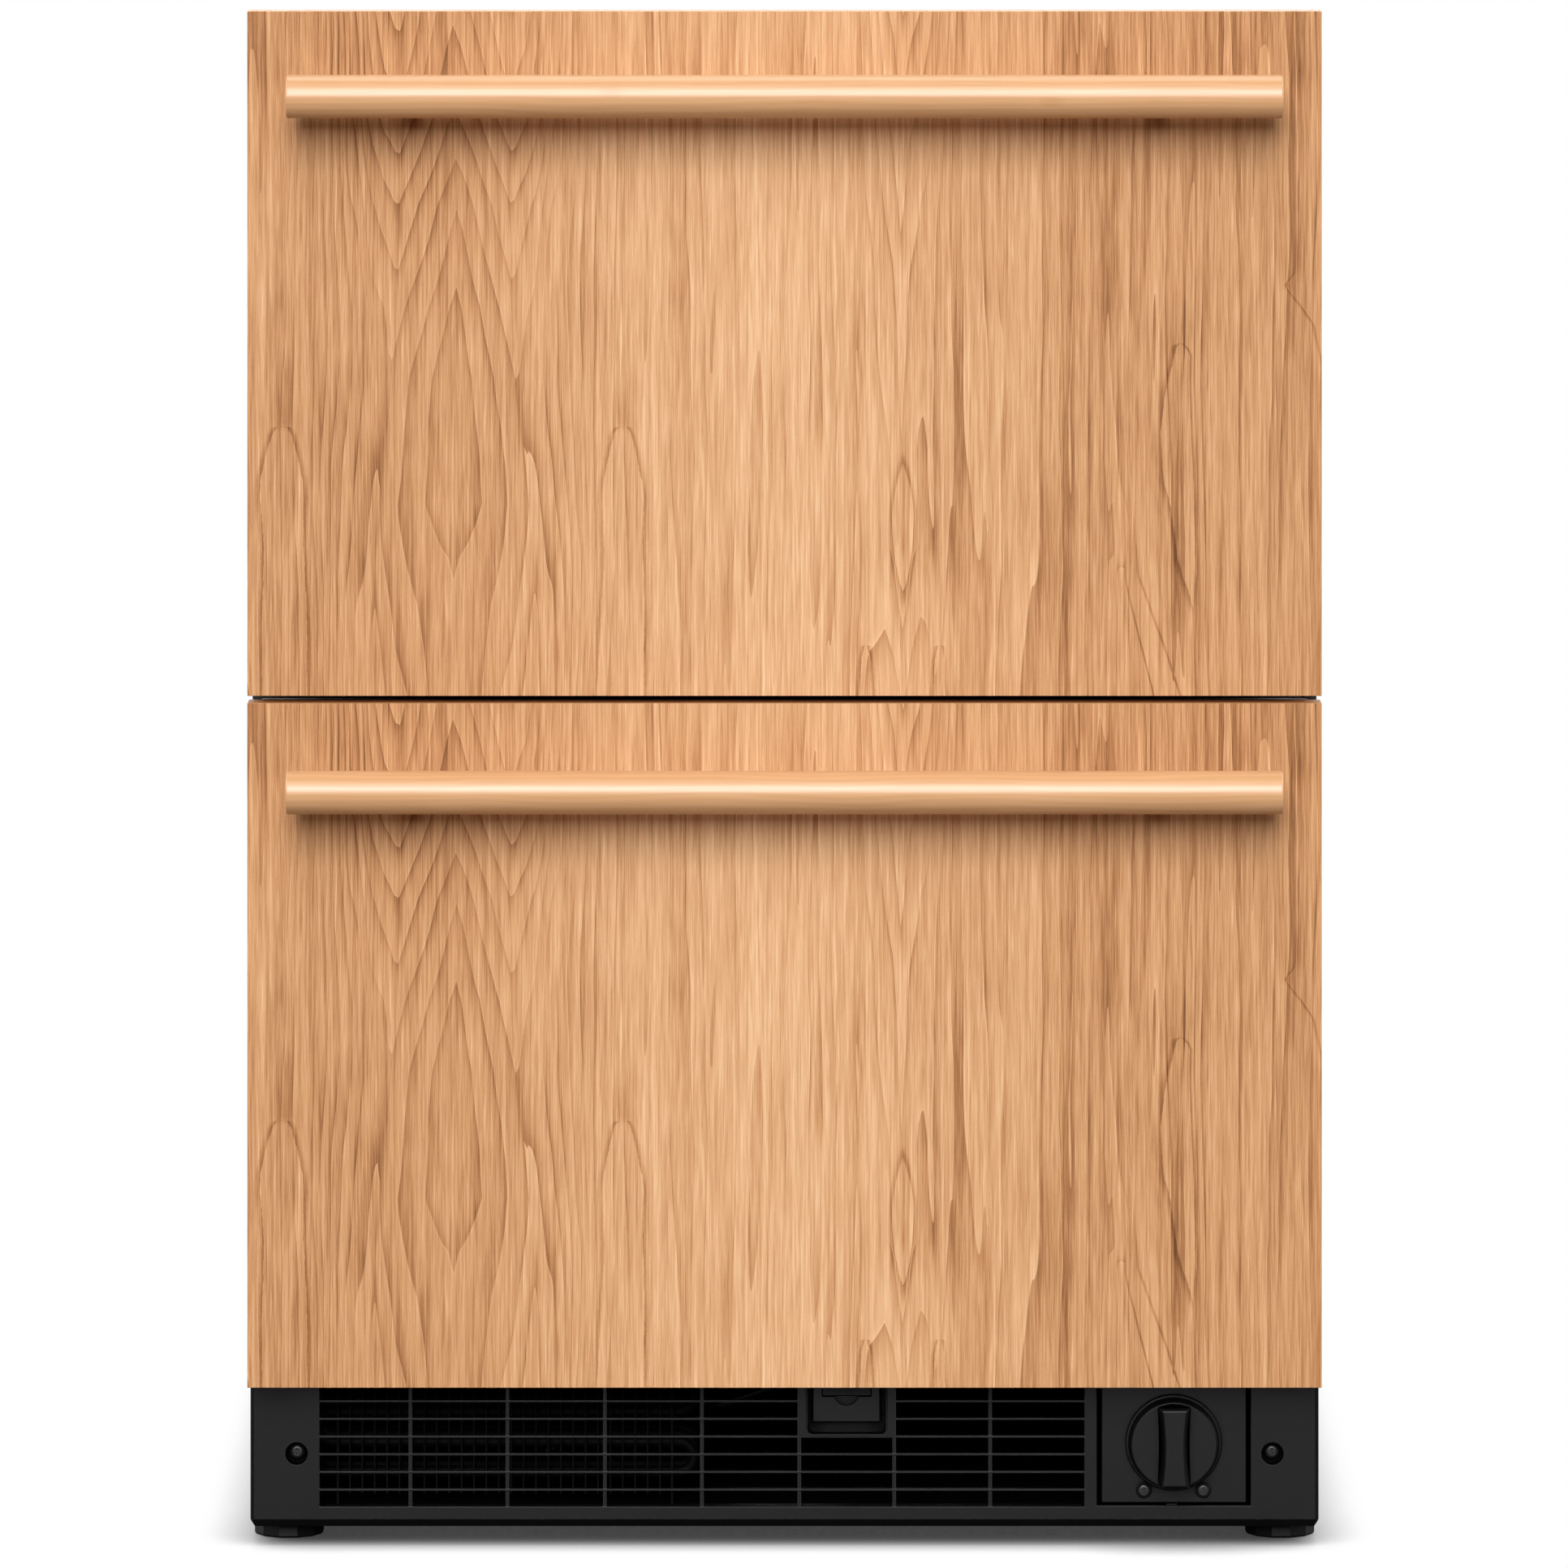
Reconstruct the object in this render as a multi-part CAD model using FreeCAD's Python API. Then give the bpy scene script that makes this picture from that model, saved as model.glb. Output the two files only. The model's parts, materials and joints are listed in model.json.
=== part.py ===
"""Two-drawer under-counter refrigerator with wood overlay fronts, modelled as separate pieces.

Frame: +Z up, origin on the floor under the centre of the overall box, -Y is the front,
X is the width. Units are millimetres. Pairs such as UP_CAV are (low, high) limits.
"""
import FreeCAD, Part
import math
import os

V = FreeCAD.Vector
os.makedirs("parts", exist_ok=True)

# ---------------------------------------------------------------- driving dimensions
# cabinet
CAB_W = 600.0            # the nominal 600 module
HALF_W = CAB_W / 2.0
CAB_TOP = 832.0
Y_CAB_F = -215.0         # front flange
Y_CAB_B = 330.0          # back
SHEET = 1.2              # sheet steel
BEND_R = 3.0             # outside bend radius of the wrapper
FLANGE_W = 13.2          # inner edge of the flanges from the cabinet side
FLANGE_INSET = 0.6       # outer edge of the flanges inside the outer skin
ANCHOR_X, ANCHOR_Y, ANCHOR_R = 240.0, -175.0, 2.75   # screw holes for the worktop brackets
DECK_Z = 105.0
STEP_Y = 118.0           # machine space is tall behind this plane
STEP_Z = 262.0
IN_HALF_W = HALF_W - SHEET
IN_TOP = CAB_TOP - SHEET
IN_BEND_R = BEND_R - SHEET
Y_FLANGE_B = Y_CAB_F + SHEET
Y_BACK_IN = Y_CAB_B - SHEET

# wood panels and handles
PANEL_W = CAB_W
PANEL_H = 382.3
PANEL_T = 19.0
Y_PANEL_F = -280.0
Y_PANEL_B = Y_PANEL_F + PANEL_T
PANEL_TOP = 863.6
PANEL_GAP = 4.0
PANEL_EDGE = 0.35        # rounding of all panel edges
UP_PANEL_Z = (PANEL_TOP - PANEL_H, PANEL_TOP)
LO_PANEL_Z = (PANEL_TOP - 2 * PANEL_H - PANEL_GAP, PANEL_TOP - PANEL_H - PANEL_GAP)
MID_Z = PANEL_TOP - PANEL_H - PANEL_GAP / 2.0   # middle of the gap between the drawers
HANDLE_D = 24.0
HANDLE_L = 553.0
HANDLE_OFF = 38.0        # rod centre in front of the panel face
HANDLE_DROP = 45.4       # rod centre below the panel's top edge
POST_X, POST_R = 208.0, 5.0
POST_SINK = 5.0          # posts start this far behind the rod centre

# doors and gaskets
DOOR_HALF_W = 295.0
DOOR_SKIN = 1.2
Y_DOOR_B = -229.0
Y_LINER_B = -226.0
DYKE_HALF_W = 240.0      # raised part of the door liner
DYKE_T = 2.5
Y_DYKE_B = -208.0
GASKET_HALF_W = 294.6
GASKET_W = 12.0

# compartments
LINER_T = 2.0
LINER_FLANGE_T = 1.6
CAV_HALF_W = 260.0       # inside half width of both compartments
CAV_R = 12.0
UP_CAV = (500.0, 796.0)
LO_CAV = (146.0, 458.0)
SHELF_Z = 304.0          # lower compartment is deeper above this height
Y_UP_BACK = 290.0
Y_LO_BACK = 85.0
AIR_SLOT = (-60.0, 60.0, 245.0, 275.0)   # x0, x1, y0, y1: lets cold air rise to the upper drawer

# x, y of pipes through the deck, and the height where the fill pipe turns forward
SUCTION = (-150.0, 240.0)
CAPILLARY = (-180.0, 240.0)
SPOUT = (100.0, 170.0)
FILL = (40.0, 305.0)
FILL_Z = 446.0

# toe grille
Y_TOE = -243.0           # front face
TOE_Z0, TOE_Z1 = 10.4, 104.4
TOE_T = 2.5
TOE_CORNER = 2.4
TOE_SLOPE_Z = 15.0       # bottom front and ends slope in below this height
BAR_DEPTH = 3.4
FRAME_DEPTH = 9.0
EASE = 0.4               # eased edges of moulded openings
GRILLE_X = (-260.9, 168.2)
GRILLE_Z0 = 22.2
ROW_PITCH = 9.95
ROW_OPEN = 8.7
ROWS = 8
BAR_H = ROW_PITCH - ROW_OPEN
GRILLE_Z1 = GRILLE_Z0 + ROW_PITCH * (ROWS - 1) + ROW_OPEN
OPENING_Z1 = GRILLE_Z1 - 0.6
COLS = (-210.1, -155.6, -100.9, -46.4, 8.3, 61.6, 115.5)   # upright bar centres
COL_T = 2.0
HOLE_X, HOLE_Z, HOLE_R = 274.0, 51.8, 6.4   # screw wells
WELL_DEPTH = 9.0
CUT_X = (175.5, 261.7)   # opening round the filter plate
CUT_Z = (22.7, 101.2)
SW_X = (12.6, 57.3)      # power switch pocket
SW_Z = (62.5, 99.4)
SW_R = 3.8
SW_RIM = 0.6             # pocket and bezel reach this far outside SW_X, SW_Z

# filter front
PLATE_X = (178.1, 259.3)
PLATE_Z = (24.1, 100.2)
Y_PLATE = -241.5
PLATE_T = 2.5
PLATE_SCREWS = ((201.8, 31.0), (235.2, 31.0))   # x, z
CAP_X, CAP_Z, CAP_R = 218.5, 58.1, 27.0

# chassis and feet
BASE_T = 1.5
BASE_Z0 = 14.0
FLOOR_Z = BASE_Z0 + BASE_T    # top of the chassis floor
BASE_HALF_W = HALF_W - TOE_T - 0.2
Y_BASE_F, Y_BASE_B = -232.0, 326.0
FOOT_X, FOOT_YF, FOOT_YR = 279.8, -200.0, 300.0
FOOT_R, FOOT_H = 20.0, 10.0
STUD_R = 4.9
FOOT_PLACES = {"front_left": (-FOOT_X, FOOT_YF), "rear_left": (-FOOT_X, FOOT_YR),
               "front_right": (FOOT_X, FOOT_YF), "rear_right": (FOOT_X, FOOT_YR)}

# bins and slides
BIN_HALF_W = 244.0
BIN_T = 2.5
UP_BIN = (-208.0, 185.0, 512.0, 742.0)   # y0, y1, z0, z1
LO_BIN = (-208.0, 72.0, 158.0, 388.0)
UP_RAIL_Z, LO_RAIL_Z = 640.0, 272.0
UP_RAIL_Y = (-205.0, 195.0)
LO_RAIL_Y = (-205.0, 75.0)
RAIL_T = 1.5
# nested C-channels from outside in: web inset and lip inset from the compartment wall, half height
RAIL_SECTIONS = ((0.0, 12.5, 23.0), (5.3, 12.2, 21.4), (9.5, 16.0, 19.8))


# ---------------------------------------------------------------- helpers
def is_along(run, axis):
    return abs(getattr(run, axis)) > 0.999


def edges_where(shape, test):
    """Edges whose chord midpoint and unit direction (zero when closed) pass the test."""
    picked = []
    for edge in shape.Edges:
        first, last = edge.Vertexes[0].Point, edge.Vertexes[-1].Point
        run = last - first
        if run.Length > 1e-9:
            run.normalize()
        if test((first + last) * 0.5, run):
            picked.append(edge)
    return picked


def edges_at_y(shape, y, tolerance=1e-6):
    return edges_where(shape, lambda mid, run: abs(mid.y - y) < tolerance)


def fillet_along(shape, radius, axis, where=lambda mid: True):
    """Fillet the straight edges parallel to an axis whose midpoint passes the test."""
    edges = edges_where(shape, lambda mid, run: is_along(run, axis) and where(mid))
    return shape.makeFillet(radius, edges)


def fillet_at_y(shape, radius, y):
    return shape.makeFillet(radius, edges_at_y(shape, y))


def fillet_rims(shape, radius):
    return shape.makeFillet(radius, [edge for edge in shape.Edges if edge.Closed])


def box(x0, x1, y0, y1, z0, z1, radius=0, axis="y"):
    """Box between limits; a radius rounds its four edges along the axis."""
    block = Part.makeBox(x1 - x0, y1 - y0, z1 - z0, V(x0, y0, z0))
    return fillet_along(block, radius, axis) if radius else block


def wide_box(half_width, y0, y1, z0, z1, radius=0):
    return box(-half_width, half_width, y0, y1, z0, z1, radius)


def arched_box(half_width, y0, y1, z0, z1, radius):
    """Centred box with only its two upper side edges rounded."""
    return fillet_along(wide_box(half_width, y0, y1, z0, z1), radius, "y",
                        lambda mid: mid.z > z1 - 1)


def cylinder(axis, start, radius, length):
    way = {"x": V(1, 0, 0), "y": V(0, 1, 0), "z": V(0, 0, 1)}[axis]
    return Part.makeCylinder(radius, length, V(*start), way)


def cone_y(start, radius0, radius1, length):
    return Part.makeCone(radius0, radius1, length, V(*start), V(0, 1, 0))


def riser(place, z, radius, length):
    """Upright cylinder at an (x, y) place."""
    return cylinder("z", (place[0], place[1], z), radius, length)


def fuse(first, *others):
    return first.multiFuse(list(others)).removeSplitter()


def cut(shape, *tools):
    return shape.cut(tools[0] if len(tools) == 1 else Part.makeCompound(list(tools)))


def prism(points, sweep):
    """Closed polygon through the points, extruded by the sweep vector."""
    return Part.Face(Part.makePolygon(points + points[:1])).extrude(sweep)


def polygon_prism(x, y, z, radius, count, turn, height):
    """Upright regular prism; turn shifts its corners by that share of a side."""
    angles = [math.radians(360.0 / count * (k + turn)) for k in range(count)]
    return prism([V(x + radius * math.cos(a), y + radius * math.sin(a), z) for a in angles],
                 V(0, 0, height))


def pipe(points, radius, bend):
    """Solid round rod through points, with arcs of radius bend at the corners."""
    points = [V(*point) for point in points]
    edges = []
    last = points[0]
    for before, corner, after in zip(points, points[1:], points[2:]):
        to_before = (before - corner).normalize()
        to_after = (after - corner).normalize()
        half = to_before.getAngle(to_after) / 2.0
        setback = bend / math.tan(half)
        arc_start, arc_end = corner + to_before * setback, corner + to_after * setback
        inward = (to_before + to_after).normalize()
        centre = corner + inward * (bend / math.sin(half))
        if (arc_start - last).Length > 1e-6:
            edges.append(Part.makeLine(last, arc_start))
        edges.append(Part.Arc(arc_start, centre - inward * bend, arc_end).toShape())
        last = arc_end
    edges.append(Part.makeLine(last, points[-1]))
    way = (points[1] - points[0]).normalize()
    profile = Part.Wire([Part.makeCircle(radius, points[0], way)])
    return Part.Wire(edges).makePipeShell([profile], True, False)


def save(name, shape):
    solids = shape.Solids
    assert solids, name
    for solid in solids:
        assert solid.isValid() and solid.Volume > 0, name
    (shape if len(solids) > 1 else solids[0]).exportStep("parts/%s.step" % name)


def save_group(name, shapes):
    save(name, Part.makeCompound(shapes))


# ---------------------------------------------------------------- cabinet sheet metal
def cabinet_outline():
    return arched_box(HALF_W, Y_CAB_F, Y_CAB_B, 12.0, CAB_TOP, BEND_R)


def anchor_holes(z, radius, length):
    return [riser((x, ANCHOR_Y), z, radius, length) for x in (-ANCHOR_X, ANCHOR_X)]


# one roll-formed sheet makes the left side, the top and the right side
hollow = arched_box(IN_HALF_W, Y_CAB_F - 5, Y_CAB_B + 5, 0.0, IN_TOP, IN_BEND_R)
flange_top = CAB_TOP - FLANGE_INSET
flanges = []
for side in (-1, 1):
    x0, x1 = sorted((side * (HALF_W - FLANGE_W), side * (HALF_W - FLANGE_INSET)))
    flanges.append(box(x0, x1, Y_CAB_F, Y_FLANGE_B, DECK_Z + 1.4, flange_top))
    flanges.append(box(x0, x1, Y_BACK_IN, Y_CAB_B, STEP_Z + SHEET, flange_top))
flanges.append(wide_box(HALF_W - 1, Y_CAB_F, Y_FLANGE_B, CAB_TOP - 12.0, flange_top))
outline = cabinet_outline()
wrapper = fuse(cabinet_outline().cut(hollow), *[flange.common(outline) for flange in flanges])
save("cabinet_wrapper", cut(wrapper, *anchor_holes(CAB_TOP - 8.0, ANCHOR_R, 20.0)))

# back sheet with two shallow ring beads
back = wide_box(HALF_W - FLANGE_W, Y_BACK_IN, Y_CAB_B, STEP_Z + SHEET, IN_TOP)
for z in (400.0, 600.0):
    bead = wide_box(240, Y_CAB_B - 0.6, Y_CAB_B + 1, z, z + 60, 12)
    island = wide_box(236, Y_CAB_B - 2, Y_CAB_B + 2, z + 4, z + 56, 9)
    back = cut(back, cut(bead, island))
save("back_panel", back)

# bent sheet under the insulation, stepped over the machine space, with an upright front rail
DECK_PROFILE = [         # y, z
    (Y_FLANGE_B, DECK_Z), (STEP_Y, DECK_Z), (STEP_Y, STEP_Z), (Y_BACK_IN, STEP_Z),
    (Y_BACK_IN, STEP_Z + SHEET), (STEP_Y - SHEET, STEP_Z + SHEET),
    (STEP_Y - SHEET, DECK_Z + SHEET), (Y_FLANGE_B, DECK_Z + SHEET)]
deck = prism([V(-IN_HALF_W, y, z) for y, z in DECK_PROFILE], V(CAB_W - 2 * SHEET, 0, 0))
deck = fuse(deck, wide_box(HALF_W - 13.4, Y_CAB_F, Y_FLANGE_B, DECK_Z, DECK_Z + 27.0))
DECK_HOLES = ((SUCTION, 7.0), (CAPILLARY, 4.0), (SPOUT, 8.0), (FILL, 4.0))   # place, radius
deck = cut(deck, *[riser(place, STEP_Z - 5, radius, 10) for place, radius in DECK_HOLES])
save("cabinet_deck", deck)

save("mullion_rail", wide_box(HALF_W - FLANGE_W, Y_CAB_F, Y_FLANGE_B, MID_Z - 18.0, MID_Z + 18.0, 2))

# ---------------------------------------------------------------- liners and foam
SUCTION_HOLE_R = 4.3
CAPILLARY_HOLE_R = 1.6
SPOUT_R = 7.0
FILL_R = 3.2
Y_LINER_FLANGE_B = Y_FLANGE_B + LINER_FLANGE_T


def up_cavity(grow, y0):
    """Upper compartment, grown on every side but the front, which is at y0."""
    return wide_box(CAV_HALF_W + grow, y0, Y_UP_BACK + grow, UP_CAV[0] - grow, UP_CAV[1] + grow,
                    CAV_R + grow)


def lo_cavity(grow, y0):
    half, bottom, top = CAV_HALF_W + grow, LO_CAV[0] - grow, LO_CAV[1] + grow
    cavity = fuse(wide_box(half, y0, Y_LO_BACK + grow, bottom, top),
                  wide_box(half, y0, Y_UP_BACK + grow, SHELF_Z - grow, top))
    return fillet_along(cavity, CAV_R + grow, "y", lambda mid: abs(abs(mid.x) - half) < 0.01
                        and (abs(mid.z - bottom) < 0.01 or abs(mid.z - top) < 0.01))


slot = box(*AIR_SLOT, 440, 520)
upper_flange = wide_box(IN_HALF_W, Y_FLANGE_B, Y_LINER_FLANGE_B, MID_Z, IN_TOP, IN_BEND_R)
save("upper_liner", cut(fuse(up_cavity(LINER_T, Y_FLANGE_B), upper_flange),
                        up_cavity(0, Y_FLANGE_B - 5), slot))

lower_flange = wide_box(IN_HALF_W, Y_FLANGE_B, Y_LINER_FLANGE_B, DECK_Z + SHEET, MID_Z)
spout = riser(SPOUT, 236.0, SPOUT_R, SHELF_Z - 236.5)
save("lower_liner", cut(fuse(lo_cavity(LINER_T, Y_FLANGE_B), lower_flange, spout),
                        lo_cavity(0, Y_FLANGE_B - 5), slot,
                        riser(SPOUT, 230.0, 5.0, 80),
                        riser(SUCTION, SHELF_Z - 6.0, SUCTION_HOLE_R, 10),
                        riser(CAPILLARY, SHELF_Z - 6.0, CAPILLARY_HOLE_R, 10),
                        cylinder("y", (FILL[0], 285.0, FILL_Z), FILL_R, 12)))

foam = arched_box(IN_HALF_W, Y_LINER_FLANGE_B, Y_BACK_IN, DECK_Z + SHEET, IN_TOP, IN_BEND_R)
foam = cut(foam, wide_box(310, STEP_Y - SHEET, 340, 90, STEP_Z + SHEET))
foam = cut(foam, up_cavity(LINER_T, Y_FLANGE_B - 5), lo_cavity(LINER_T, Y_FLANGE_B - 5), slot,
           *anchor_holes(CAB_TOP - 18, 4, 40))
foam = cut(foam, riser(SUCTION, 255.0, SUCTION_HOLE_R, 55),
           riser(CAPILLARY, 255.0, CAPILLARY_HOLE_R, 55),
           riser(SPOUT, 245.0, SPOUT_R, 60), riser(FILL, 250.0, FILL_R, FILL_Z - 250.0 + 8.0),
           box(FILL[0] - FILL_R, FILL[0] + FILL_R, 285, FILL[1], FILL_Z - 8.0, FILL_Z + 8.0))
save("foam_insulation", foam)

# ---------------------------------------------------------------- base chassis
FRONT_LUG_Z1 = 101.5
base = fuse(
    wide_box(BASE_HALF_W, Y_BASE_F, Y_BASE_B, BASE_Z0, FLOOR_Z),
    box(-BASE_HALF_W, -BASE_HALF_W + BASE_T, Y_BASE_F, Y_BASE_B, BASE_Z0, DECK_Z),
    box(BASE_HALF_W - BASE_T, BASE_HALF_W, Y_BASE_F, Y_BASE_B, BASE_Z0, DECK_Z),
    wide_box(BASE_HALF_W, Y_BASE_B - BASE_T, Y_BASE_B, BASE_Z0, 30.0),
    wide_box(BASE_HALF_W, Y_BASE_F, Y_BASE_F + BASE_T, BASE_Z0, 20.0),
    box(-BASE_HALF_W, -264.0, Y_BASE_F, Y_BASE_F + BASE_T, BASE_Z0, FRONT_LUG_Z1),
    box(266.0, BASE_HALF_W, Y_BASE_F, Y_BASE_F + BASE_T, BASE_Z0, FRONT_LUG_Z1),
    wide_box(BASE_HALF_W, STEP_Y - 4, STEP_Y - 4 + BASE_T, 88.0, DECK_Z),
)
# hexagon nuts for the feet
base = fuse(base, *[polygon_prism(x, y, FLOOR_Z, 9.2, 6, 0, 8.0) for x, y in FOOT_PLACES.values()])
for place in FOOT_PLACES.values():
    base = cut(base, riser(place, 0.0, STUD_R + 0.08, 40.0))
# air slots in the floor
base = cut(base, *[box(x, x + 18.0, 140.0, 200.0, 10.0, 20.0, 6.0, "z")
                   for x in [-120.0 + 40.0 * k for k in range(7)]])
# screw holes for the toe grille
base = cut(base, *[cylinder("y", (x, -240, HOLE_Z), 2.1, 20) for x in (-HOLE_X, HOLE_X)])
save("base_chassis", base)

# ---------------------------------------------------------------- toe grille
def grille_opening_edge(mid, run):
    """Straight edge on the front face, round the grille or the filter opening."""
    return (abs(mid.y - Y_TOE) < 1e-6 and (is_along(run, "x") or is_along(run, "z"))
            and GRILLE_X[0] - 0.1 < mid.x < CUT_X[1] + 0.1
            and GRILLE_Z0 - 0.1 < mid.z < CUT_Z[1] + 0.1)


def louvre_bar(z0):
    """Level bar across the grille with a rounded upper front edge."""
    x0, x1 = GRILLE_X[0] - 0.5, GRILLE_X[1] + 0.5
    y0, z1 = Y_TOE + 0.1, z0 + BAR_H
    y1 = y0 + BAR_DEPTH
    radius = 0.5
    corner = radius * (1 - math.sqrt(0.5))
    profile = Part.Wire([
        Part.makeLine(V(x0, y0, z0), V(x0, y0, z1 - radius)),
        Part.Arc(V(x0, y0, z1 - radius), V(x0, y0 + corner, z1 - corner),
                 V(x0, y0 + radius, z1)).toShape(),
        Part.makeLine(V(x0, y0 + radius, z1), V(x0, y1, z1)),
        Part.makeLine(V(x0, y1, z1), V(x0, y1, z0)),
        Part.makeLine(V(x0, y1, z0), V(x0, y0, z0))])
    return Part.Face(profile).extrude(V(x1 - x0, 0, 0))


def switch_outline(grow, radius, y0, y1):
    return box(SW_X[0] - grow, SW_X[1] + grow, y0, y1, SW_Z[0] - grow, SW_Z[1] + grow, radius)


toe = wide_box(HALF_W, Y_TOE, Y_CAB_F, TOE_Z0, TOE_Z1)
toe = fillet_along(toe, TOE_CORNER, "z", lambda mid: mid.y < Y_TOE + 1)
# slopes under the front edge and at both ends
front_slope = prism([V(-HALF_W - 1, y, z) for y, z in (
    (Y_TOE - 1, TOE_SLOPE_Z), (Y_TOE, TOE_SLOPE_Z), (Y_TOE + 4.2, TOE_Z0),
    (Y_TOE + 4.2, TOE_Z0 - 1), (Y_TOE - 1, TOE_Z0 - 1))], V(CAB_W + 2, 0, 0))
end_slopes = [prism([V(side * x, Y_TOE - 1, z) for x, z in (
    (HALF_W + 1, TOE_SLOPE_Z), (HALF_W, TOE_SLOPE_Z), (HALF_W - TOE_CORNER, TOE_Z0),
    (HALF_W - TOE_CORNER, TOE_Z0 - 1), (HALF_W + 1, TOE_Z0 - 1))], V(0, 40, 0))
    for side in (-1, 1)]
toe = cut(toe, front_slope, *end_slopes)
# hollow inside, open at the back and behind the top lip
inside = (HALF_W - TOE_T, Y_CAB_F + 10, TOE_Z0 + 3.6)
toe = cut(toe, wide_box(inside[0], Y_TOE + TOE_T, inside[1], inside[2], TOE_Z1 - TOE_T),
          wide_box(inside[0], Y_TOE + 8.0, inside[1], inside[2], TOE_Z1 + 5))
toe = cut(toe, box(*GRILLE_X, Y_TOE - 5, Y_TOE + TOE_T + 5, GRILLE_Z0, OPENING_Z1),
          box(*CUT_X, Y_TOE - 5, Y_TOE + TOE_T + 5, *CUT_Z))
toe = toe.makeChamfer(EASE, edges_where(toe, grille_opening_edge))
bars = [louvre_bar(GRILLE_Z0 + ROW_PITCH * k - BAR_H) for k in range(1, ROWS)]
bars += [box(x - COL_T / 2, x + COL_T / 2, Y_TOE + 0.25, Y_TOE + 5.0, GRILLE_Z0 - 0.5, GRILLE_Z1)
         for x in COLS]
# frame that stiffens the grille opening
frame = cut(box(GRILLE_X[0] - 2, GRILLE_X[1] + 2, Y_TOE + 0.5, Y_TOE + FRAME_DEPTH,
                GRILLE_Z0 - 2, TOE_Z1 - 0.5),
            box(*GRILLE_X, Y_TOE, Y_TOE + 20, GRILLE_Z0, OPENING_Z1))
switch_block = box(7.3, 62.6, Y_TOE, Y_TOE + FRAME_DEPTH, 61.6, TOE_Z1 - 1)
toe = fuse(toe, frame, switch_block, *bars)
toe = cut(toe, switch_outline(SW_RIM, SW_R, Y_TOE - 5, Y_TOE + 20))
# deep screw wells left and right
for x in (-HOLE_X, HOLE_X):
    toe = fuse(toe, cylinder("y", (x, Y_TOE + 0.4, HOLE_Z), HOLE_R + 2.0, 10.4))
    toe = cut(toe, cylinder("y", (x, Y_TOE - 2, HOLE_Z), HOLE_R, WELL_DEPTH + 2),
              cylinder("y", (x, Y_TOE - 2, HOLE_Z), 2.3, 20))
save("toe_grille", toe)


def cross_screw(x, z, y_seat):
    """Pan-head cross-recess screw, underside of the head at y_seat, shank towards +Y."""
    y_front = y_seat - 2.9
    head = fillet_at_y(cylinder("y", (x, y_front, z), 4.3, 2.9), 2.1, y_front)
    screw = fuse(head, cylinder("y", (x, y_seat, z), 1.9, 9.0))
    long, short = 2.3, 0.45
    return cut(screw, *[box(x - half_x, x + half_x, y_front - 1, y_seat - 1.1, z - half_z, z + half_z)
                        for half_x, half_z in ((long, short), (short, long))])


save_group("grille_screws", [cross_screw(x, z, Y_PLATE) for x, z in PLATE_SCREWS]
           + [cross_screw(x, HOLE_Z, Y_TOE + WELL_DEPTH) for x in (-HOLE_X, HOLE_X)])

# ---------------------------------------------------------------- water filter
BORE_R = 18.0            # cartridge neck inside the cap
CART_R = 22.5
PORTS_X = (CAP_X - 12, CAP_X + 12)
PORT_Z = CAP_Z + 8
Y_HEAD = Y_PLATE + 210.5
WATER_R = 3.25


def disc(y, radius, length):
    """Cylinder towards +Y on the filter axis."""
    return cylinder("y", (CAP_X, y, CAP_Z), radius, length)


plate = box(*PLATE_X, Y_PLATE, Y_PLATE + PLATE_T, *PLATE_Z, 0.8)
plate = fillet_at_y(plate, 0.45, Y_PLATE)
tabs = fuse(box(PLATE_X[0] + 3, PLATE_X[0] + 5.5, Y_PLATE + 2, Y_PLATE + 16, 32, 92),
            box(PLATE_X[1] - 5.5, PLATE_X[1] - 3, Y_PLATE + 2, Y_PLATE + 16, 32, 92))
plate = cut(fuse(plate, tabs), disc(Y_PLATE - 2, 24.6, 10),
            *[cylinder("y", (x, Y_PLATE - 2, z), 2.05, 10) for x, z in PLATE_SCREWS])
save("filter_plate", plate)

# quarter-turn cap: tapered round body, two half-moon faces and a waisted grip
y_face = Y_PLATE - 11.5      # half-moon faces
y_grip = y_face - 12.0       # front of the grip
y_skirt = Y_PLATE - 3.2
skirt = fillet_at_y(disc(y_skirt, CAP_R, 3.0), 0.8, y_skirt)
body = fillet_at_y(cone_y((CAP_X, y_face, CAP_Z), 24.4, 25.8, 9.2), 1.2, y_face)
cap = fuse(skirt, body)


def grip_wire(y, waist, flare, half_length):
    """Waisted outline at depth y: half width at the middle, extra at the ends, half length."""
    steps = [-1 + 2.0 * i / 8 for i in range(9)]
    stations = [(waist + flare * t * t, half_length * t) for t in steps]
    right = [V(CAP_X + width, y, CAP_Z + rise) for width, rise in stations]
    left = [V(CAP_X - width, y, CAP_Z + rise) for width, rise in reversed(stations)]
    right_curve = Part.BSplineCurve()
    right_curve.interpolate(right)
    left_curve = Part.BSplineCurve()
    left_curve.interpolate(left)
    return Part.Wire([right_curve.toShape(), Part.makeLine(right[-1], left[0]),
                      left_curve.toShape(), Part.makeLine(left[-1], right[0])])


channel = Part.Face(grip_wire(y_face - 2, 8.7, 1.2, 30.0)).extrude(V(0, 9.0, 0))
cap = cut(cap, channel.common(disc(y_face - 2, 23.2, 9.0)))
grip = Part.makeLoft([grip_wire(y_face + 7.5, 8.2, 1.6, 20.4),
                      grip_wire(y_grip, 5.9, 1.9, 22.2)], True, True)
# the fillet may fail on the lofted spline sides; the grip then keeps sharp front edges
try:
    grip = grip.makeFillet(1.6, edges_at_y(grip, y_grip, 1e-4))
except Exception:
    pass
save("filter_cap", cut(fuse(cap, grip), disc(Y_PLATE - 3.3, BORE_R + 0.06, 10)))

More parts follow.
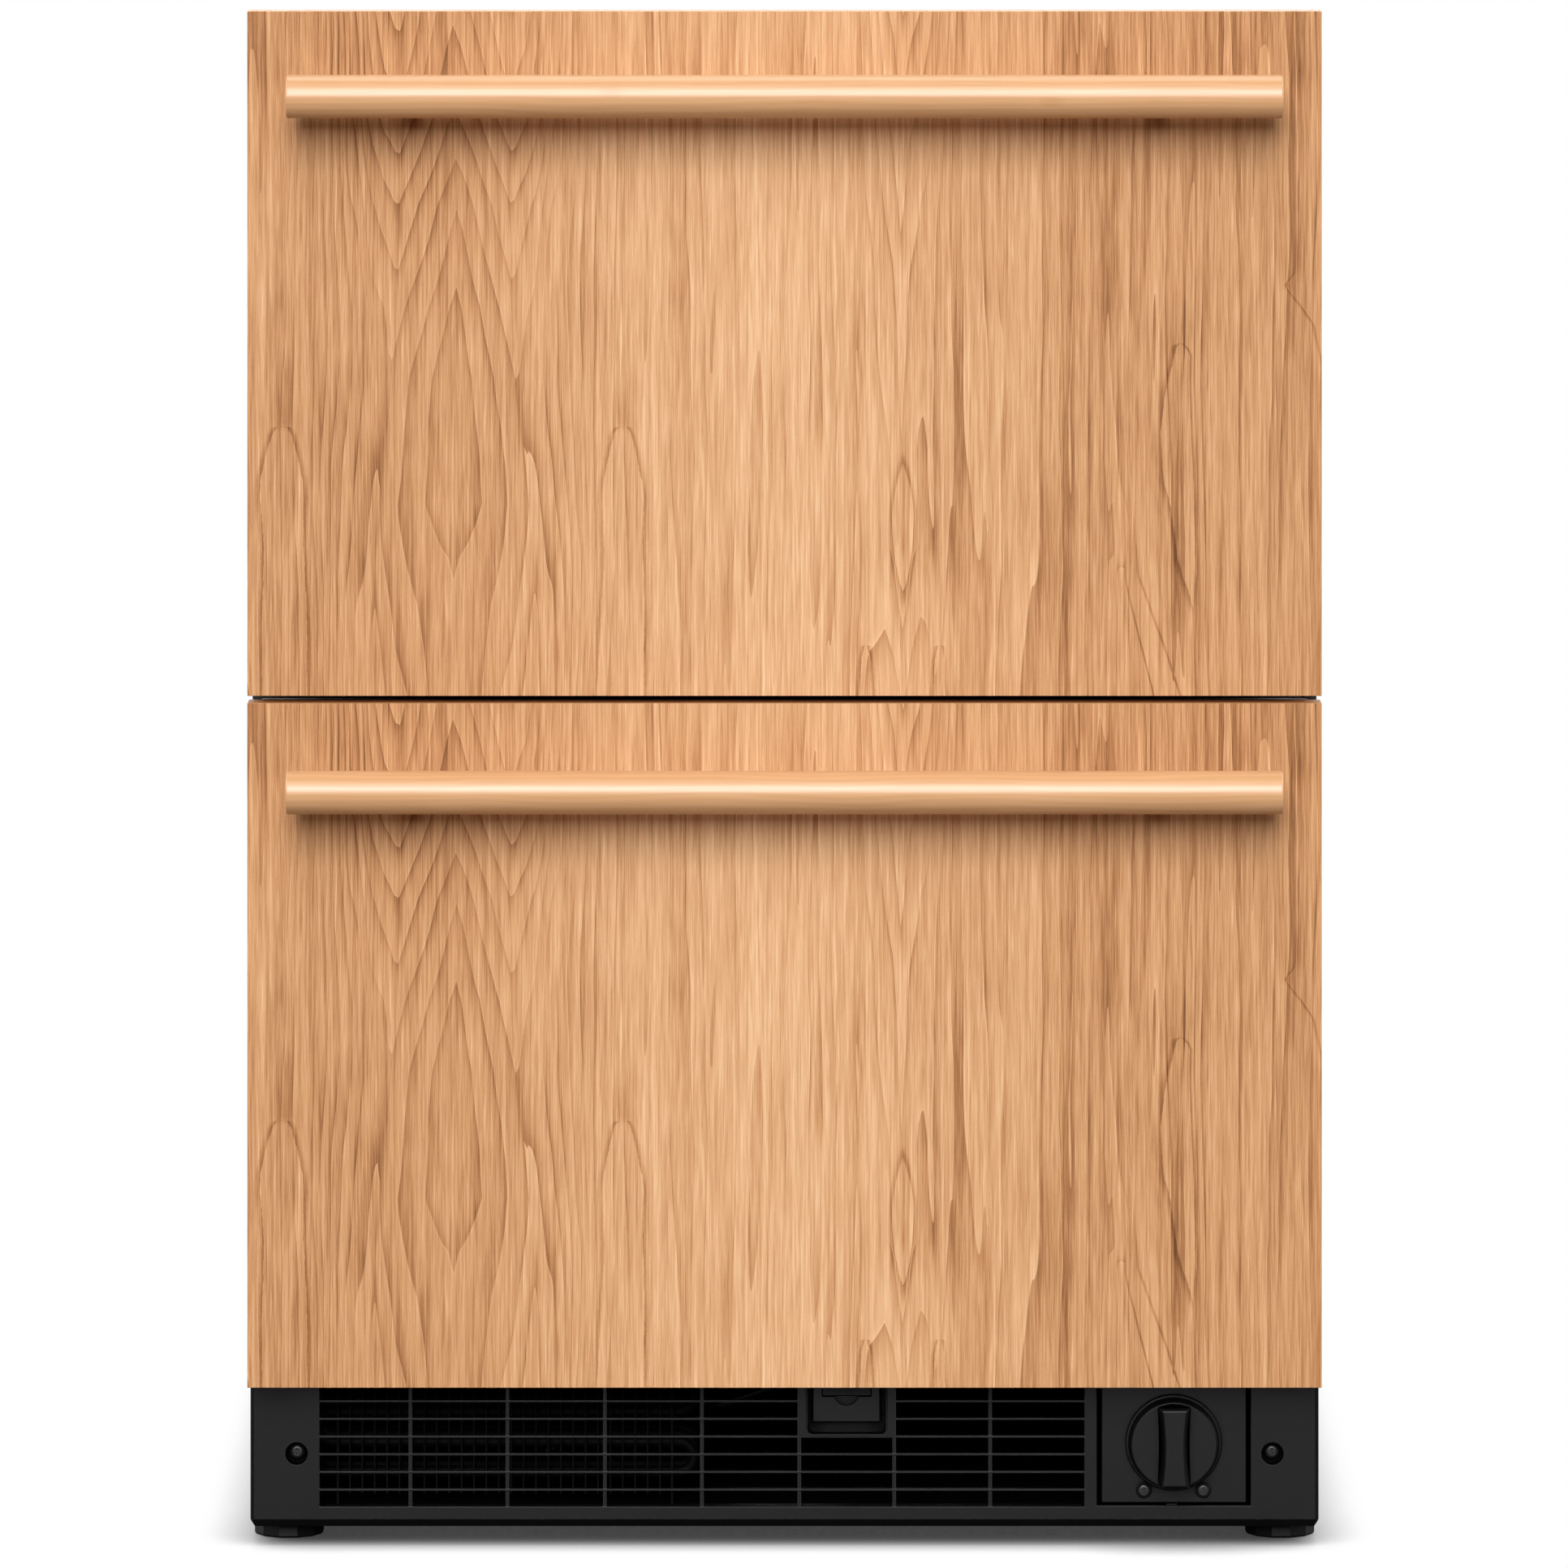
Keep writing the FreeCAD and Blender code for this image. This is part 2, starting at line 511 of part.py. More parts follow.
cartridge = fuse(disc(Y_PLATE - 3.3, BORE_R, 8.0), disc(Y_PLATE + 4.0, CART_R, 196.0),
                 cone_y((CAP_X, Y_PLATE + 200.0, CAP_Z), CART_R, 14.0, 10.0),
                 disc(Y_PLATE + 210.0, 12.0, 13.0))
# two ring grooves in the rear neck
save("filter_cartridge", cut(cartridge, *[
    cut(disc(Y_PLATE + 212.5 + 5 * k, 13.0, 2.0), disc(Y_PLATE + 212.0 + 5 * k, 11.2, 3.0))
    for k in range(2)]))

head = box(CAP_X - 26, CAP_X + 26, Y_HEAD, Y_HEAD + 44, CAP_Z - 24, CAP_Z + 24, 6)
head = cut(head, disc(Y_HEAD - 1, 14.6, 2.5), disc(Y_HEAD - 1, 12.06, 18))
# half-round trough under the cartridge, on a post
trough = cut(disc(Y_PLATE + 20.0, 25.0, Y_HEAD - Y_PLATE - 20.0), disc(Y_PLATE, 22.6, 300),
             box(CAP_X - 30, CAP_X + 30, -300, 100, CAP_Z - 4.0, CAP_Z + 40))
post = box(CAP_X - 3, CAP_X + 3, Y_PLATE + 30, Y_PLATE + 36, FLOOR_Z, CAP_Z - 23.5)
head = fuse(head, trough, post)
head = fuse(head, box(CAP_X - 30, CAP_X + 30, Y_HEAD + 10, Y_HEAD + 34, FLOOR_Z, CAP_Z - 22),
            *[cylinder("y", (x, Y_HEAD + 43, PORT_Z), 6, 10) for x in PORTS_X])
head = cut(head, *[cylinder("y", (x, Y_HEAD + 45, PORT_Z), WATER_R, 12) for x in PORTS_X])
save("filter_head", head)

# inlet valve at the back, with its open inlet facing out
VALVE_X, VALVE_Z = 213.0, 62.0
INLET_Z = VALVE_Z - 4
valve = fuse(box(VALVE_X - 22, VALVE_X + 22, 268, 296, VALVE_Z - 18, VALVE_Z + 14, 4),
             cylinder("z", (VALVE_X - 6, 282, VALVE_Z + 12), 13, 30),
             cylinder("y", (VALVE_X, 295, INLET_Z), 10.0, 10),
             cylinder("y", (VALVE_X, 300, INLET_Z), 13.2, 27),
             box(VALVE_X - 28, VALVE_X - 20, 290, 292, FLOOR_Z, VALVE_Z + 10),
             cylinder("y", (VALVE_X + 10, 258, VALVE_Z), 5.0, 12))
save("water_valve", cut(valve, cylinder("y", (VALVE_X, 302, INLET_Z), 9.5, 30),
                        cylinder("y", (VALVE_X + 10, 256, VALVE_Z), WATER_R, 12)))

# valve to filter head, then filter head to the ice maker
save_group("water_lines", [
    pipe([(VALVE_X + 10, 268.0, VALVE_Z), (VALVE_X + 10, 150, VALVE_Z),
          (PORTS_X[1], 100, PORT_Z), (PORTS_X[1], Y_HEAD + 45.0, PORT_Z)], WATER_R, 20),
    pipe([(PORTS_X[0], Y_HEAD + 45.0, PORT_Z), (PORTS_X[0], 98, PORT_Z), (181, 116, 70),
          (181, FILL[1], 70), (FILL[0], FILL[1], 70), (FILL[0], FILL[1], FILL_Z),
          (FILL[0], 40, FILL_Z), (-72, 40, FILL_Z), (-72, 5, FILL_Z)], FILL_R, 8),
])

# ---------------------------------------------------------------- power switch
ROCKER_Y, ROCKER_Z = Y_TOE + 8.0, 89.6   # pivot axis
y_bezel = Y_TOE - 0.5
y_recess = Y_TOE + 3.0
bezel = fillet_at_y(switch_outline(SW_RIM, SW_R, y_bezel, Y_TOE + 12.0), 0.4, y_bezel)
bezel = cut(bezel, switch_outline(-0.2, 3.0, y_bezel - 1, Y_TOE + 8.5))
face_plate = box(15.4, 54.1, y_recess, Y_TOE + 9.0, 68.7, 98.4)
face_plate = face_plate.makeChamfer(0.9, edges_at_y(face_plate, y_recess))
bezel = fuse(bezel, face_plate)
bezel = cut(bezel, box(20.9, 49.0, Y_TOE - 1, Y_TOE + 10.9, 83.1, 96.0, 0.8),
            cylinder("y", (34.8, Y_TOE - 1, 85.4), 7.2, 7.2))
save("switch_bezel", cut(bezel, cylinder("x", (19.6, ROCKER_Y, ROCKER_Z), 1.25, 30.7)))

# rocker button, tilted so that its lower half is pressed in
ROCKER_PROFILE = (       # z, y from the pivot
    (-5.8, 0.0), (-5.4, -3.6), (0.0, -1.6), (5.4, -3.6), (5.8, 0.0), (2.2, 2.1), (-2.2, 2.1))
rocker = prism([V(21.5, ROCKER_Y + y, ROCKER_Z + z) for z, y in ROCKER_PROFILE], V(26.9, 0, 0))
rocker = fuse(rocker, cylinder("x", (19.8, ROCKER_Y, ROCKER_Z), 1.2, 30.3))
rocker.rotate(V(0, ROCKER_Y, ROCKER_Z), V(1, 0, 0), 9.0)
save("power_rocker", rocker)

# ---------------------------------------------------------------- levelling feet
def foot(place):
    """Twelve-sided pad with a ring-grooved stud."""
    pad = polygon_prism(place[0], place[1], 0, FOOT_R, 12, 0.5, FOOT_H)
    pad = pad.makeChamfer(1.2, edges_where(
        pad, lambda mid, run: mid.z < 0.01 and abs(run.z) < 0.01))
    grooves = [cut(riser(place, 14 + 1.5 * k, 6, 0.5),
                   riser(place, 13.9 + 1.5 * k, STUD_R - 0.45, 0.8)) for k in range(28)]
    return cut(fuse(pad, riser(place, FOOT_H - 1, STUD_R, 52.0)), *grooves)


for corner_name, place in FOOT_PLACES.items():
    save("foot_" + corner_name, foot(place))

# ---------------------------------------------------------------- drawers
def wood_panel(z0, z1):
    panel = wide_box(PANEL_W / 2, Y_PANEL_F, Y_PANEL_B, z0, z1)
    return panel.makeFillet(PANEL_EDGE, panel.Edges)


def handle_posts(z):
    y = Y_PANEL_F - HANDLE_OFF + POST_SINK
    return [cylinder("y", (x, y, z), POST_R, HANDLE_OFF - POST_SINK) for x in (-POST_X, POST_X)]


def handle_rod(z):
    y = Y_PANEL_F - HANDLE_OFF
    rod = fillet_rims(cylinder("x", (-HANDLE_L / 2, y, z), HANDLE_D / 2, HANDLE_L), 0.8)
    for x in (-POST_X, POST_X):
        rod = cut(rod, cylinder("y", (x, y + POST_SINK, z), POST_R, 20))
    return rod


def door_hollow(z0, z1, y1):
    return wide_box(DOOR_HALF_W - DOOR_SKIN, Y_PANEL_B + DOOR_SKIN, y1, z0 + DOOR_SKIN, z1 - DOOR_SKIN)


def dyke_hollow(z0, z1):
    return wide_box(DYKE_HALF_W - DYKE_T, Y_DOOR_B - 5, Y_DYKE_B - DYKE_T, z0 + DYKE_T, z1 - DYKE_T, 12)


def door(z0, z1):
    return cut(wide_box(DOOR_HALF_W, Y_PANEL_B, Y_DOOR_B, z0, z1, 2.0),
               door_hollow(z0, z1, Y_DOOR_B + 5))


def door_liner(door_z, dyke_z):
    sheet = wide_box(DOOR_HALF_W, Y_DOOR_B, Y_LINER_B, *door_z, 2.0)
    dyke = fillet_at_y(wide_box(DYKE_HALF_W, Y_DOOR_B, Y_DYKE_B, *dyke_z, 14), 4.0, Y_DYKE_B)
    return cut(fuse(sheet, dyke), dyke_hollow(*dyke_z))


def gasket(z0, z1):
    outer = wide_box(GASKET_HALF_W, Y_LINER_B, Y_CAB_F - 0.1, z0, z1, 5)
    inner = wide_box(GASKET_HALF_W - GASKET_W, Y_LINER_B - 5, Y_CAB_F + 5,
                     z0 + GASKET_W, z1 - GASKET_W, 3)
    depth = 2.6    # bellows groove round the outside
    groove = cut(wide_box(302, -222.3, -219.3, z0 - 8, z1 + 8, 6),
                 wide_box(GASKET_HALF_W - depth, -223, -219, z0 + depth, z1 - depth, 3))
    return cut(cut(outer, inner), groove)


def bin_tub(y0, y1, z0, z1):
    """Open tub with rounded rear corners and a rim round the top."""
    tub = wide_box(BIN_HALF_W, y0, y1, z0, z1)
    tub = fillet_along(tub, 10.0, "z", lambda mid: mid.y > 0)
    inside = wide_box(BIN_HALF_W - BIN_T, y0 + BIN_T, y1 - BIN_T, z0 + BIN_T, z1 + 10)
    inside = inside.makeFillet(7.5, edges_where(
        inside, lambda mid, run: is_along(run, "z") or (mid.z < z0 + 5 and abs(run.z) < 0.01)))
    rim = cut(wide_box(BIN_HALF_W + 2.5, y0, y1 + 2.5, z1 - 4, z1),
              wide_box(BIN_HALF_W - 3, y0 + 3, y1 - 3, z1 - 10, z1 + 5))
    return cut(fuse(tub, rim), inside)


def rails(y0, y1, z):
    """Left and right pairs of the outer, middle and inner C-channels."""
    holes = [cylinder("x", (230, y0 + 40 + k * (y1 - y0 - 80) / 3.0, z), 3.0, 30)
             for k in range(4)]
    pairs = []
    for k, (web_inset, lip_inset, half) in enumerate(RAIL_SECTIONS):
        web, lip = CAV_HALF_W - web_inset, CAV_HALF_W - lip_inset
        rail = fuse(box(web - RAIL_T, web, y0 + k, y1 - k, z - half, z + half),
                    box(lip, web, y0 + k, y1 - k, z + half - RAIL_T, z + half),
                    box(lip, web, y0 + k, y1 - k, z - half, z - half + RAIL_T))
        rail = cut(rail, *holes)
        pairs.append([rail, rail.mirror(V(0, 0, 0), V(1, 0, 0))])
    return pairs


# name, panel z, door z, gasket z, dyke z, bin limits, rail y, rail z
DRAWERS = (
    ("upper", UP_PANEL_Z, (MID_Z + 5.2, CAB_TOP - 1.5), (MID_Z + 5.4, CAB_TOP - 1.7),
     (512.0, 782.0), UP_BIN, UP_RAIL_Y, UP_RAIL_Z),
    ("lower", LO_PANEL_Z, (108.0, MID_Z - 5.2), (108.4, MID_Z - 5.4),
     (158.0, 444.0), LO_BIN, LO_RAIL_Y, LO_RAIL_Z),
)
outer_rails = []
for name, panel_z, door_z, gasket_z, dyke_z, bin_limits, rail_y, rail_z in DRAWERS:
    save(name + "_panel", wood_panel(*panel_z))
    save(name + "_handle", handle_rod(panel_z[1] - HANDLE_DROP))
    save_group(name + "_handle_posts", handle_posts(panel_z[1] - HANDLE_DROP))
    save(name + "_door", door(*door_z))
    save(name + "_door_liner", door_liner(door_z, dyke_z))
    save(name + "_door_foam", fuse(door_hollow(*door_z, Y_DOOR_B), dyke_hollow(*dyke_z)))
    save(name + "_gasket", gasket(*gasket_z))
    save(name + "_bin", bin_tub(*bin_limits))
    outer, middle, inner = rails(*rail_y, rail_z)
    outer_rails += outer
    save_group(name + "_slide_mid", middle)
    save_group(name + "_slide_inner", inner)
save_group("cabinet_slide_rails", outer_rails)

# upright sheet down the middle of the upper bin, with a rounded cap strip
y0, y1, z0, z1 = UP_BIN
divider = fuse(wide_box(1.25, y0 + 5, y1 - 5, z0 + 6, z1 - 20),
               wide_box(7, y0 + 0.5, y1 - 0.5, z1 + 0.1, z1 + 5.1),
               wide_box(1.25, y0 + 5, y1 - 5, z1 - 21, z1 + 1))
save("upper_divider", fillet_along(divider, 2.0, "y", lambda mid: mid.z > UP_BIN[3] + 5))

# ---------------------------------------------------------------- coils and fans
FIN_T = 0.8
COIL_END = 10            # tubes run this far past the fins
SHAFT_R = 2.0


def u_bend(start, radius, centre, axis):
    """Half-turn tube from a round section at start, facing X, about an axis through centre."""
    section = Part.Face(Part.Wire([Part.makeCircle(radius, V(*start), V(1, 0, 0))]))
    return section.revolve(V(*centre), V(*axis), 180.0)


def coil(fin_x, fin_y, fin_z, fin_count, tube_y, tube_z, radius, leg_z):
    """Finned serpentine coil with end plates standing on leg_z."""
    x0, x1 = fin_x
    left, right = x0 - COIL_END, x1 + COIL_END
    pieces = []
    for k in range(fin_count):
        x = x0 + (x1 - x0 - FIN_T) * k / (fin_count - 1)
        pieces.append(box(x, x + FIN_T, *fin_y, *fin_z))
    for y in tube_y:
        for z in tube_z:
            pieces.append(cylinder("x", (left, y, z), radius, right - left))
    for y in tube_y:
        for j in range(len(tube_z) - 1):
            x, side = (right, 1) if j % 2 == 0 else (left, -1)
            middle = tube_z[j] + (tube_z[j + 1] - tube_z[j]) / 2.0
            pieces.append(u_bend((x, y, tube_z[j]), radius, (x, y, middle), (0, -side, 0)))
    for i in range(len(tube_y) - 1):
        z = tube_z[0] if i % 2 == 0 else tube_z[-1]
        middle = tube_y[i] + (tube_y[i + 1] - tube_y[i]) / 2.0
        pieces.append(u_bend((left, tube_y[i], z), radius, (left, middle, z), (0, 0, -1)))
    for x in (left + 3.0, right - 4.2):
        pieces.append(box(x, x + 1.2, fin_y[0] - 1, fin_y[1] + 1, leg_z, fin_z[1] + 2))
    return fuse(*pieces)


def fan(centre, hub_r, tip_r):
    """Five-bladed fan turning about Y, with a shaft hole."""
    x, y, z = centre
    depth, count = 16.0, 5
    pieces = [fillet_at_y(cylinder("y", (x, y - depth / 2, z), hub_r, depth), 2.0, y - depth / 2)]
    # radius, pitch angle in degrees, chord
    stations = ((hub_r - 1.5, 50, 13), ((hub_r + tip_r) / 2, 35, 20), (tip_r, 24, 22))
    corners = ((-1, -1), (1, -1), (1, 1), (-1, 1), (-1, -1))
    for k in range(count):
        sections = []
        for radius, pitch, chord in stations:
            angle = math.radians(pitch)
            chord_x, chord_y = math.cos(angle) * chord / 2, math.sin(angle) * chord / 2
            thick_x, thick_y = -math.sin(angle) * 0.7, math.cos(angle) * 0.7
            sections.append(Part.makePolygon([
                V(x + u * chord_x + v * thick_x, y + u * chord_y * 0.8 + v * thick_y, z + radius)
                for u, v in corners]))
        blade = Part.makeLoft(sections, True, False)
        blade.rotate(V(x, y, z), V(0, 1, 0), 360.0 * k / count)
        pieces.append(blade)
    return cut(fuse(*pieces), cylinder("y", (x, y - depth, z), SHAFT_R + 0.05, depth * 2))


save("condenser", coil((-246, -70), (-202, -126), (22, 92), 26,
                       [-188, -164, -140], [32, 49, 66, 83], 3.2, FLOOR_Z))

CFAN = (-158.0, -92.0, 57.0)
CFAN_RING_R = 38.5
save("condenser_fan", fan(CFAN, 12.0, 36.0))


def on_cfan(y, radius, length):
    return cylinder("y", (CFAN[0], y, CFAN[2]), radius, length)


shroud = cut(box(-250, -66, -112, -110, FLOOR_Z, 97), on_cfan(-120, CFAN_RING_R, 30))
motor = fillet_rims(on_cfan(-78, 17, 26), 2)
arms = []
for angle in (45, 135, 225, 315):
    arm = box(15, 47, -70, -66, -2.5, 2.5)
    arm.rotate(V(0, 0, 0), V(0, 1, 0), angle)
    arm.translate(V(CFAN[0], 0, CFAN[2]))
    arms.append(arm)
ring = cut(on_cfan(-110, 43.5, 44), on_cfan(-113, CFAN_RING_R, 60))
ring = ring.common(box(-260, -50, -120, -60, 16, 99))
save("condenser_fan_motor", fuse(shroud, motor, on_cfan(-101, SHAFT_R, 26), ring, *arms))

# ---------------------------------------------------------------- compressor
COMP_X, COMP_Y, COMP_Z = -110.0, 226.0, 37.0   # axis, top of the mounting plate
COMP = (COMP_X, COMP_Y)
STUB_X, STUB_Z = COMP_X - 90, COMP_Z + 60      # ends of the pipe stubs
MOUNTS = [(COMP_X + i * 84, COMP_Y + j * 47) for i in (-1, 1) for j in (-1, 1)]
PLATE_C_T = 3.5
shell = fillet_rims(riser(COMP, COMP_Z, 74, 172), 34)
void = fillet_rims(riser(COMP, COMP_Z + 10, 64, 152), 26)
comp_plate = box(COMP_X - 100, COMP_X + 100, COMP_Y - 62, COMP_Y + 62,
                 COMP_Z - PLATE_C_T, COMP_Z, 14, "z")
terminal_box = box(COMP_X + 66, COMP_X + 92, COMP_Y - 24, COMP_Y + 24,
                   COMP_Z + 34, COMP_Z + 84, 5)
stubs = [cylinder("x", (STUB_X, COMP_Y + shift, STUB_Z), 5.4, 28) for shift in (-20, 20)]
compressor = cut(fuse(shell, riser(COMP, COMP_Z + 92, 78, 4), comp_plate,
                      riser(COMP, COMP_Z - 1, 46, 12), terminal_box, *stubs), void)
save("compressor", cut(compressor, *[riser(place, COMP_Z - 10, 7.0, 20) for place in MOUNTS]))

save_group("compressor_mounts", [
    fuse(riser(place, FLOOR_Z, 12, COMP_Z - PLATE_C_T - FLOOR_Z),
         riser(place, COMP_Z - 4, 6.8, 6), riser(place, COMP_Z, 10, 4)) for place in MOUNTS])

pan = cut(box(12, 172, 132, 284, 62, 88, 8, "z"), box(14, 170, 134, 282, 64, 100, 6, "z"))
legs = [box(x, x + 4, y, y + 8, FLOOR_Z, 63) for x in (22, 158) for y in (142, 266)]
save("drain_pan", fuse(pan, *legs))

# ---------------------------------------------------------------- refrigerant lines
SUCTION_Z, CAPILLARY_Z = 330, 428    # runs inside the lower compartment
DRIER_X, DRIER_Y = -10, 292
discharge = pipe([
    (STUB_X, COMP_Y - 20, STUB_Z), (-240, COMP_Y - 20, STUB_Z), (-240, 130, 78),
    (-278, 70, 68), (-278, -188, 83), (-256, -188, 83)], 3.2, 9)
suction = pipe([
    (STUB_X, COMP_Y + 20, STUB_Z), (-225, COMP_Y + 20, STUB_Z), (-225, COMP_Y + 20, 235),
    (*SUCTION, 235), (*SUCTION, SUCTION_Z), (-250, SUCTION[1], SUCTION_Z),
    (-250, 198, SUCTION_Z), (-239.9, 198, SUCTION_Z)], 4.2, 9)
drier = fillet_rims(cylinder("z", (DRIER_X, DRIER_Y, 62), 9, 44), 4)
capillary = pipe([
    (DRIER_X, DRIER_Y, 105), (DRIER_X, DRIER_Y, 244), (CAPILLARY[0], DRIER_Y, 244),
    (*CAPILLARY, 244), (*CAPILLARY, CAPILLARY_Z), (-252, CAPILLARY[1], CAPILLARY_Z),
    (-252, 150, CAPILLARY_Z), (-252, 150, 408), (-239.9, 150, 408)], 1.55, 5)
liquid = pipe([
    (DRIER_X, DRIER_Y, 63), (DRIER_X, DRIER_Y, 24), (DRIER_X, 120, 24), (-40, 60, 24),
    (-276, -60, 24), (-276, -140, 32), (-256, -140, 32)], 3.2, 7)
save_group("refrigerant_lines",
           [discharge, suction, cut(capillary, drier), drier, cut(liquid, drier)])

# ---------------------------------------------------------------- evaporator
save("evaporator", coil((-229, 59), (140, 208), (316, 424), 30,
                        [150, 174, 198], [330, 356, 382, 408], 4.0, SHELF_Z))
EFAN_X, EFAN_Y, EFAN_Z = 150.0, 112.0, 380.0
save("evaporator_fan", fan((EFAN_X, EFAN_Y, EFAN_Z), 13.0, 42.0))

# motor, shaft and a U-shaped bracket that reaches forward to the cover
bracket_z = (EFAN_Z - 8, EFAN_Z + 8)
save("evaporator_fan_motor", fuse(
    fillet_rims(cylinder("y", (EFAN_X, 126, EFAN_Z), 20, 34), 2),
    cylinder("y", (EFAN_X, 103, EFAN_Z), SHAFT_R, 26),
    box(EFAN_X - 66, EFAN_X + 66, 140, 142, *bracket_z),
    box(EFAN_X - 66, EFAN_X - 64, 89, 142, *bracket_z),
    box(EFAN_X + 64, EFAN_X + 66, 89, 142, *bracket_z)))

# cover with long slots on the left and a round fan grille on the right
cover = wide_box(CAV_HALF_W, 86, 89, SHELF_Z, LO_CAV[1], CAV_R)
cover = fuse(cover, wide_box(CAV_HALF_W, 86, 89, SHELF_Z, SHELF_Z + 13))
openings = [box(-215, -15, 80, 95, z, z + 6, 2.9) for z in range(322, 322 + 7 * 15, 15)]
for k in range(8):
    z = EFAN_Z - 40 + k * 10.6
    half = math.sqrt(44 ** 2 - (z + 2.5 - EFAN_Z) ** 2)
    openings.append(box(EFAN_X - half, EFAN_X - 2, 80, 95, z, z + 5.6))
    openings.append(box(EFAN_X + 2, EFAN_X + half, 80, 95, z, z + 5.6))
cover = cut(cover, cylinder("y", (FILL[0], 80, FILL_Z), FILL_R + 0.1, 20), *openings)
save("evaporator_cover", cover)

# ---------------------------------------------------------------- ice maker
ICE_X = (-198.0, -62.0)
ICE_Y, ICE_Z = -15.0, 428.0
EJECTOR_Z = ICE_Z + 8
mould = box(*ICE_X, ICE_Y - 26, ICE_Y + 26, ICE_Z - 26, ICE_Z + 5)
mould = fillet_along(mould, 10, "x", lambda mid: mid.z < ICE_Z - 18)
mould = cut(mould, cylinder("x", (ICE_X[0] + 3, ICE_Y, ICE_Z), 20, ICE_X[1] - ICE_X[0] - 6),
            box(ICE_X[0] + 3, ICE_X[1] - 3, ICE_Y - 20, ICE_Y + 20, ICE_Z, ICE_Z + 12))
# dividers between the cubes
fins = [box(x, x + 2.5, ICE_Y - 24, ICE_Y + 24, ICE_Z - 24, ICE_Z - 10).common(
    cylinder("x", (-300, ICE_Y, ICE_Z), 21, 300)) for x in range(-178, -70, 18)]
housing = box(-240, ICE_X[0], ICE_Y - 30, ICE_Y + 30, ICE_Z - 28, LO_CAV[1], 4)
end_plate = box(ICE_X[1] - 3, ICE_X[1] + 1, ICE_Y - 14, ICE_Y + 14, ICE_Z - 8, LO_CAV[1])
save("ice_maker", cut(fuse(mould, housing, end_plate, *fins),
                      cylinder("x", (ICE_X[0] - 6, ICE_Y, EJECTOR_Z), 4.06, 300)))

fingers = [box(x - 1.5, x + 1.5, ICE_Y - 3, ICE_Y + 3, EJECTOR_Z, EJECTOR_Z + 17)
           for x in range(-187, -66, 18)]
save("ice_ejector", fuse(cylinder("x", (ICE_X[0] - 5, ICE_Y, EJECTOR_Z), 4.0,
                                  ICE_X[1] - ICE_X[0] + 6), *fingers))

# ---------------------------------------------------------------- control panel
control = wide_box(150, -206, -150, UP_CAV[1] - 17, UP_CAV[1], 3)
control = fillet_along(control, 3.0, "x", lambda mid: mid.z < UP_CAV[1] - 16)
save("control_panel", cut(control, wide_box(120, -196, -178, UP_CAV[1] - 20, UP_CAV[1] - 15.5)))

# ---------------------------------------------------------------- rear cover and power cord
COVER_HALF_W = HALF_W - 4.2
Y_COVER_F, Y_COVER_B = 312, 313.2
CORD_X, CORD_Z = -250, 44    # where the cord leaves
Y_CORD = 316.8
rear = fuse(wide_box(COVER_HALF_W, Y_COVER_F, Y_COVER_B, 30.2, STEP_Z),
            wide_box(COVER_HALF_W, 313.0, 324.4, 28.8, 30.0),
            wide_box(COVER_HALF_W, Y_COVER_F, Y_COVER_B, 28.8, 31.0),
            wide_box(COVER_HALF_W, 313.0, 322.0, STEP_Z - SHEET, STEP_Z))
rear = cut(rear, *[box(x, x + 100, 305, 320, 60 + k * 14, 65 + k * 14, 2.4)
                   for x in (-220, -90, 40) for k in range(12)])
rear = cut(rear, cylinder("y", (VALVE_X, 305, INLET_Z), 24.0, 20),
           cylinder("y", (CORD_X, 305, CORD_Z), 7.0, 20))
save("rear_cover", rear)

cord = pipe([(CORD_X, 306, CORD_Z), (CORD_X, Y_CORD, CORD_Z), (CORD_X, Y_CORD, 225),
             (-225, Y_CORD, 248), (90, Y_CORD, 248), (120, Y_CORD, 225), (120, Y_CORD, 178)],
            3.6, 5)
plug = fuse(box(106, 134, Y_COVER_B, 326.5, 142, 180, 4), box(112.5, 114, 317, 323, 124, 143),
            box(126, 127.5, 317, 323, 124, 143), cylinder("z", (120, 324.0, 122), 2.3, 21))
strain_relief = fuse(cylinder("y", (CORD_X, 308, CORD_Z), 6.95, 6),
                     cylinder("y", (CORD_X, Y_COVER_B, CORD_Z), 9.0, 2.0))
save("power_cord", fuse(cord, plug, strain_relief))
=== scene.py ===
"""Looks for the two-drawer under-counter refrigerator: procedural materials, small visual pieces, stage, lights, camera."""
import json
import math

import bmesh
import bpy
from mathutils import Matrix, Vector
from mathutils.bvhtree import BVHTree


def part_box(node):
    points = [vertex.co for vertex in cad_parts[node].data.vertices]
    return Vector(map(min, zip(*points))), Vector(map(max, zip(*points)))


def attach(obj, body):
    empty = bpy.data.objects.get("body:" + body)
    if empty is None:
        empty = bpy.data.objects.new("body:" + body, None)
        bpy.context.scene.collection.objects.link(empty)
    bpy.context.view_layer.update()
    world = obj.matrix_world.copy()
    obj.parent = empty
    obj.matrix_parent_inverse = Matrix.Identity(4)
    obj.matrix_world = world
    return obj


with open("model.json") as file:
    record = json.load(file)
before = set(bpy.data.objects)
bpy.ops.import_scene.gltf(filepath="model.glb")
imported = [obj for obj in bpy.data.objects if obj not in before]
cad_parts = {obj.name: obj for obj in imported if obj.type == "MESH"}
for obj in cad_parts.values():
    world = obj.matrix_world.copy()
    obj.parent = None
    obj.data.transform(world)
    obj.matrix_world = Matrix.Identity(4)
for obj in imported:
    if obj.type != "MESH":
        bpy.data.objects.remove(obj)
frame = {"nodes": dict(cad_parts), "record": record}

NODES = frame["nodes"]
bpy.context.view_layer.update()

MM = 0.001
PANEL_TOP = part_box("upper_panel")[1].z * 1000.0          # mm
PANEL_PITCH = (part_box("upper_panel")[1].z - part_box("lower_panel")[1].z) * 1000.0


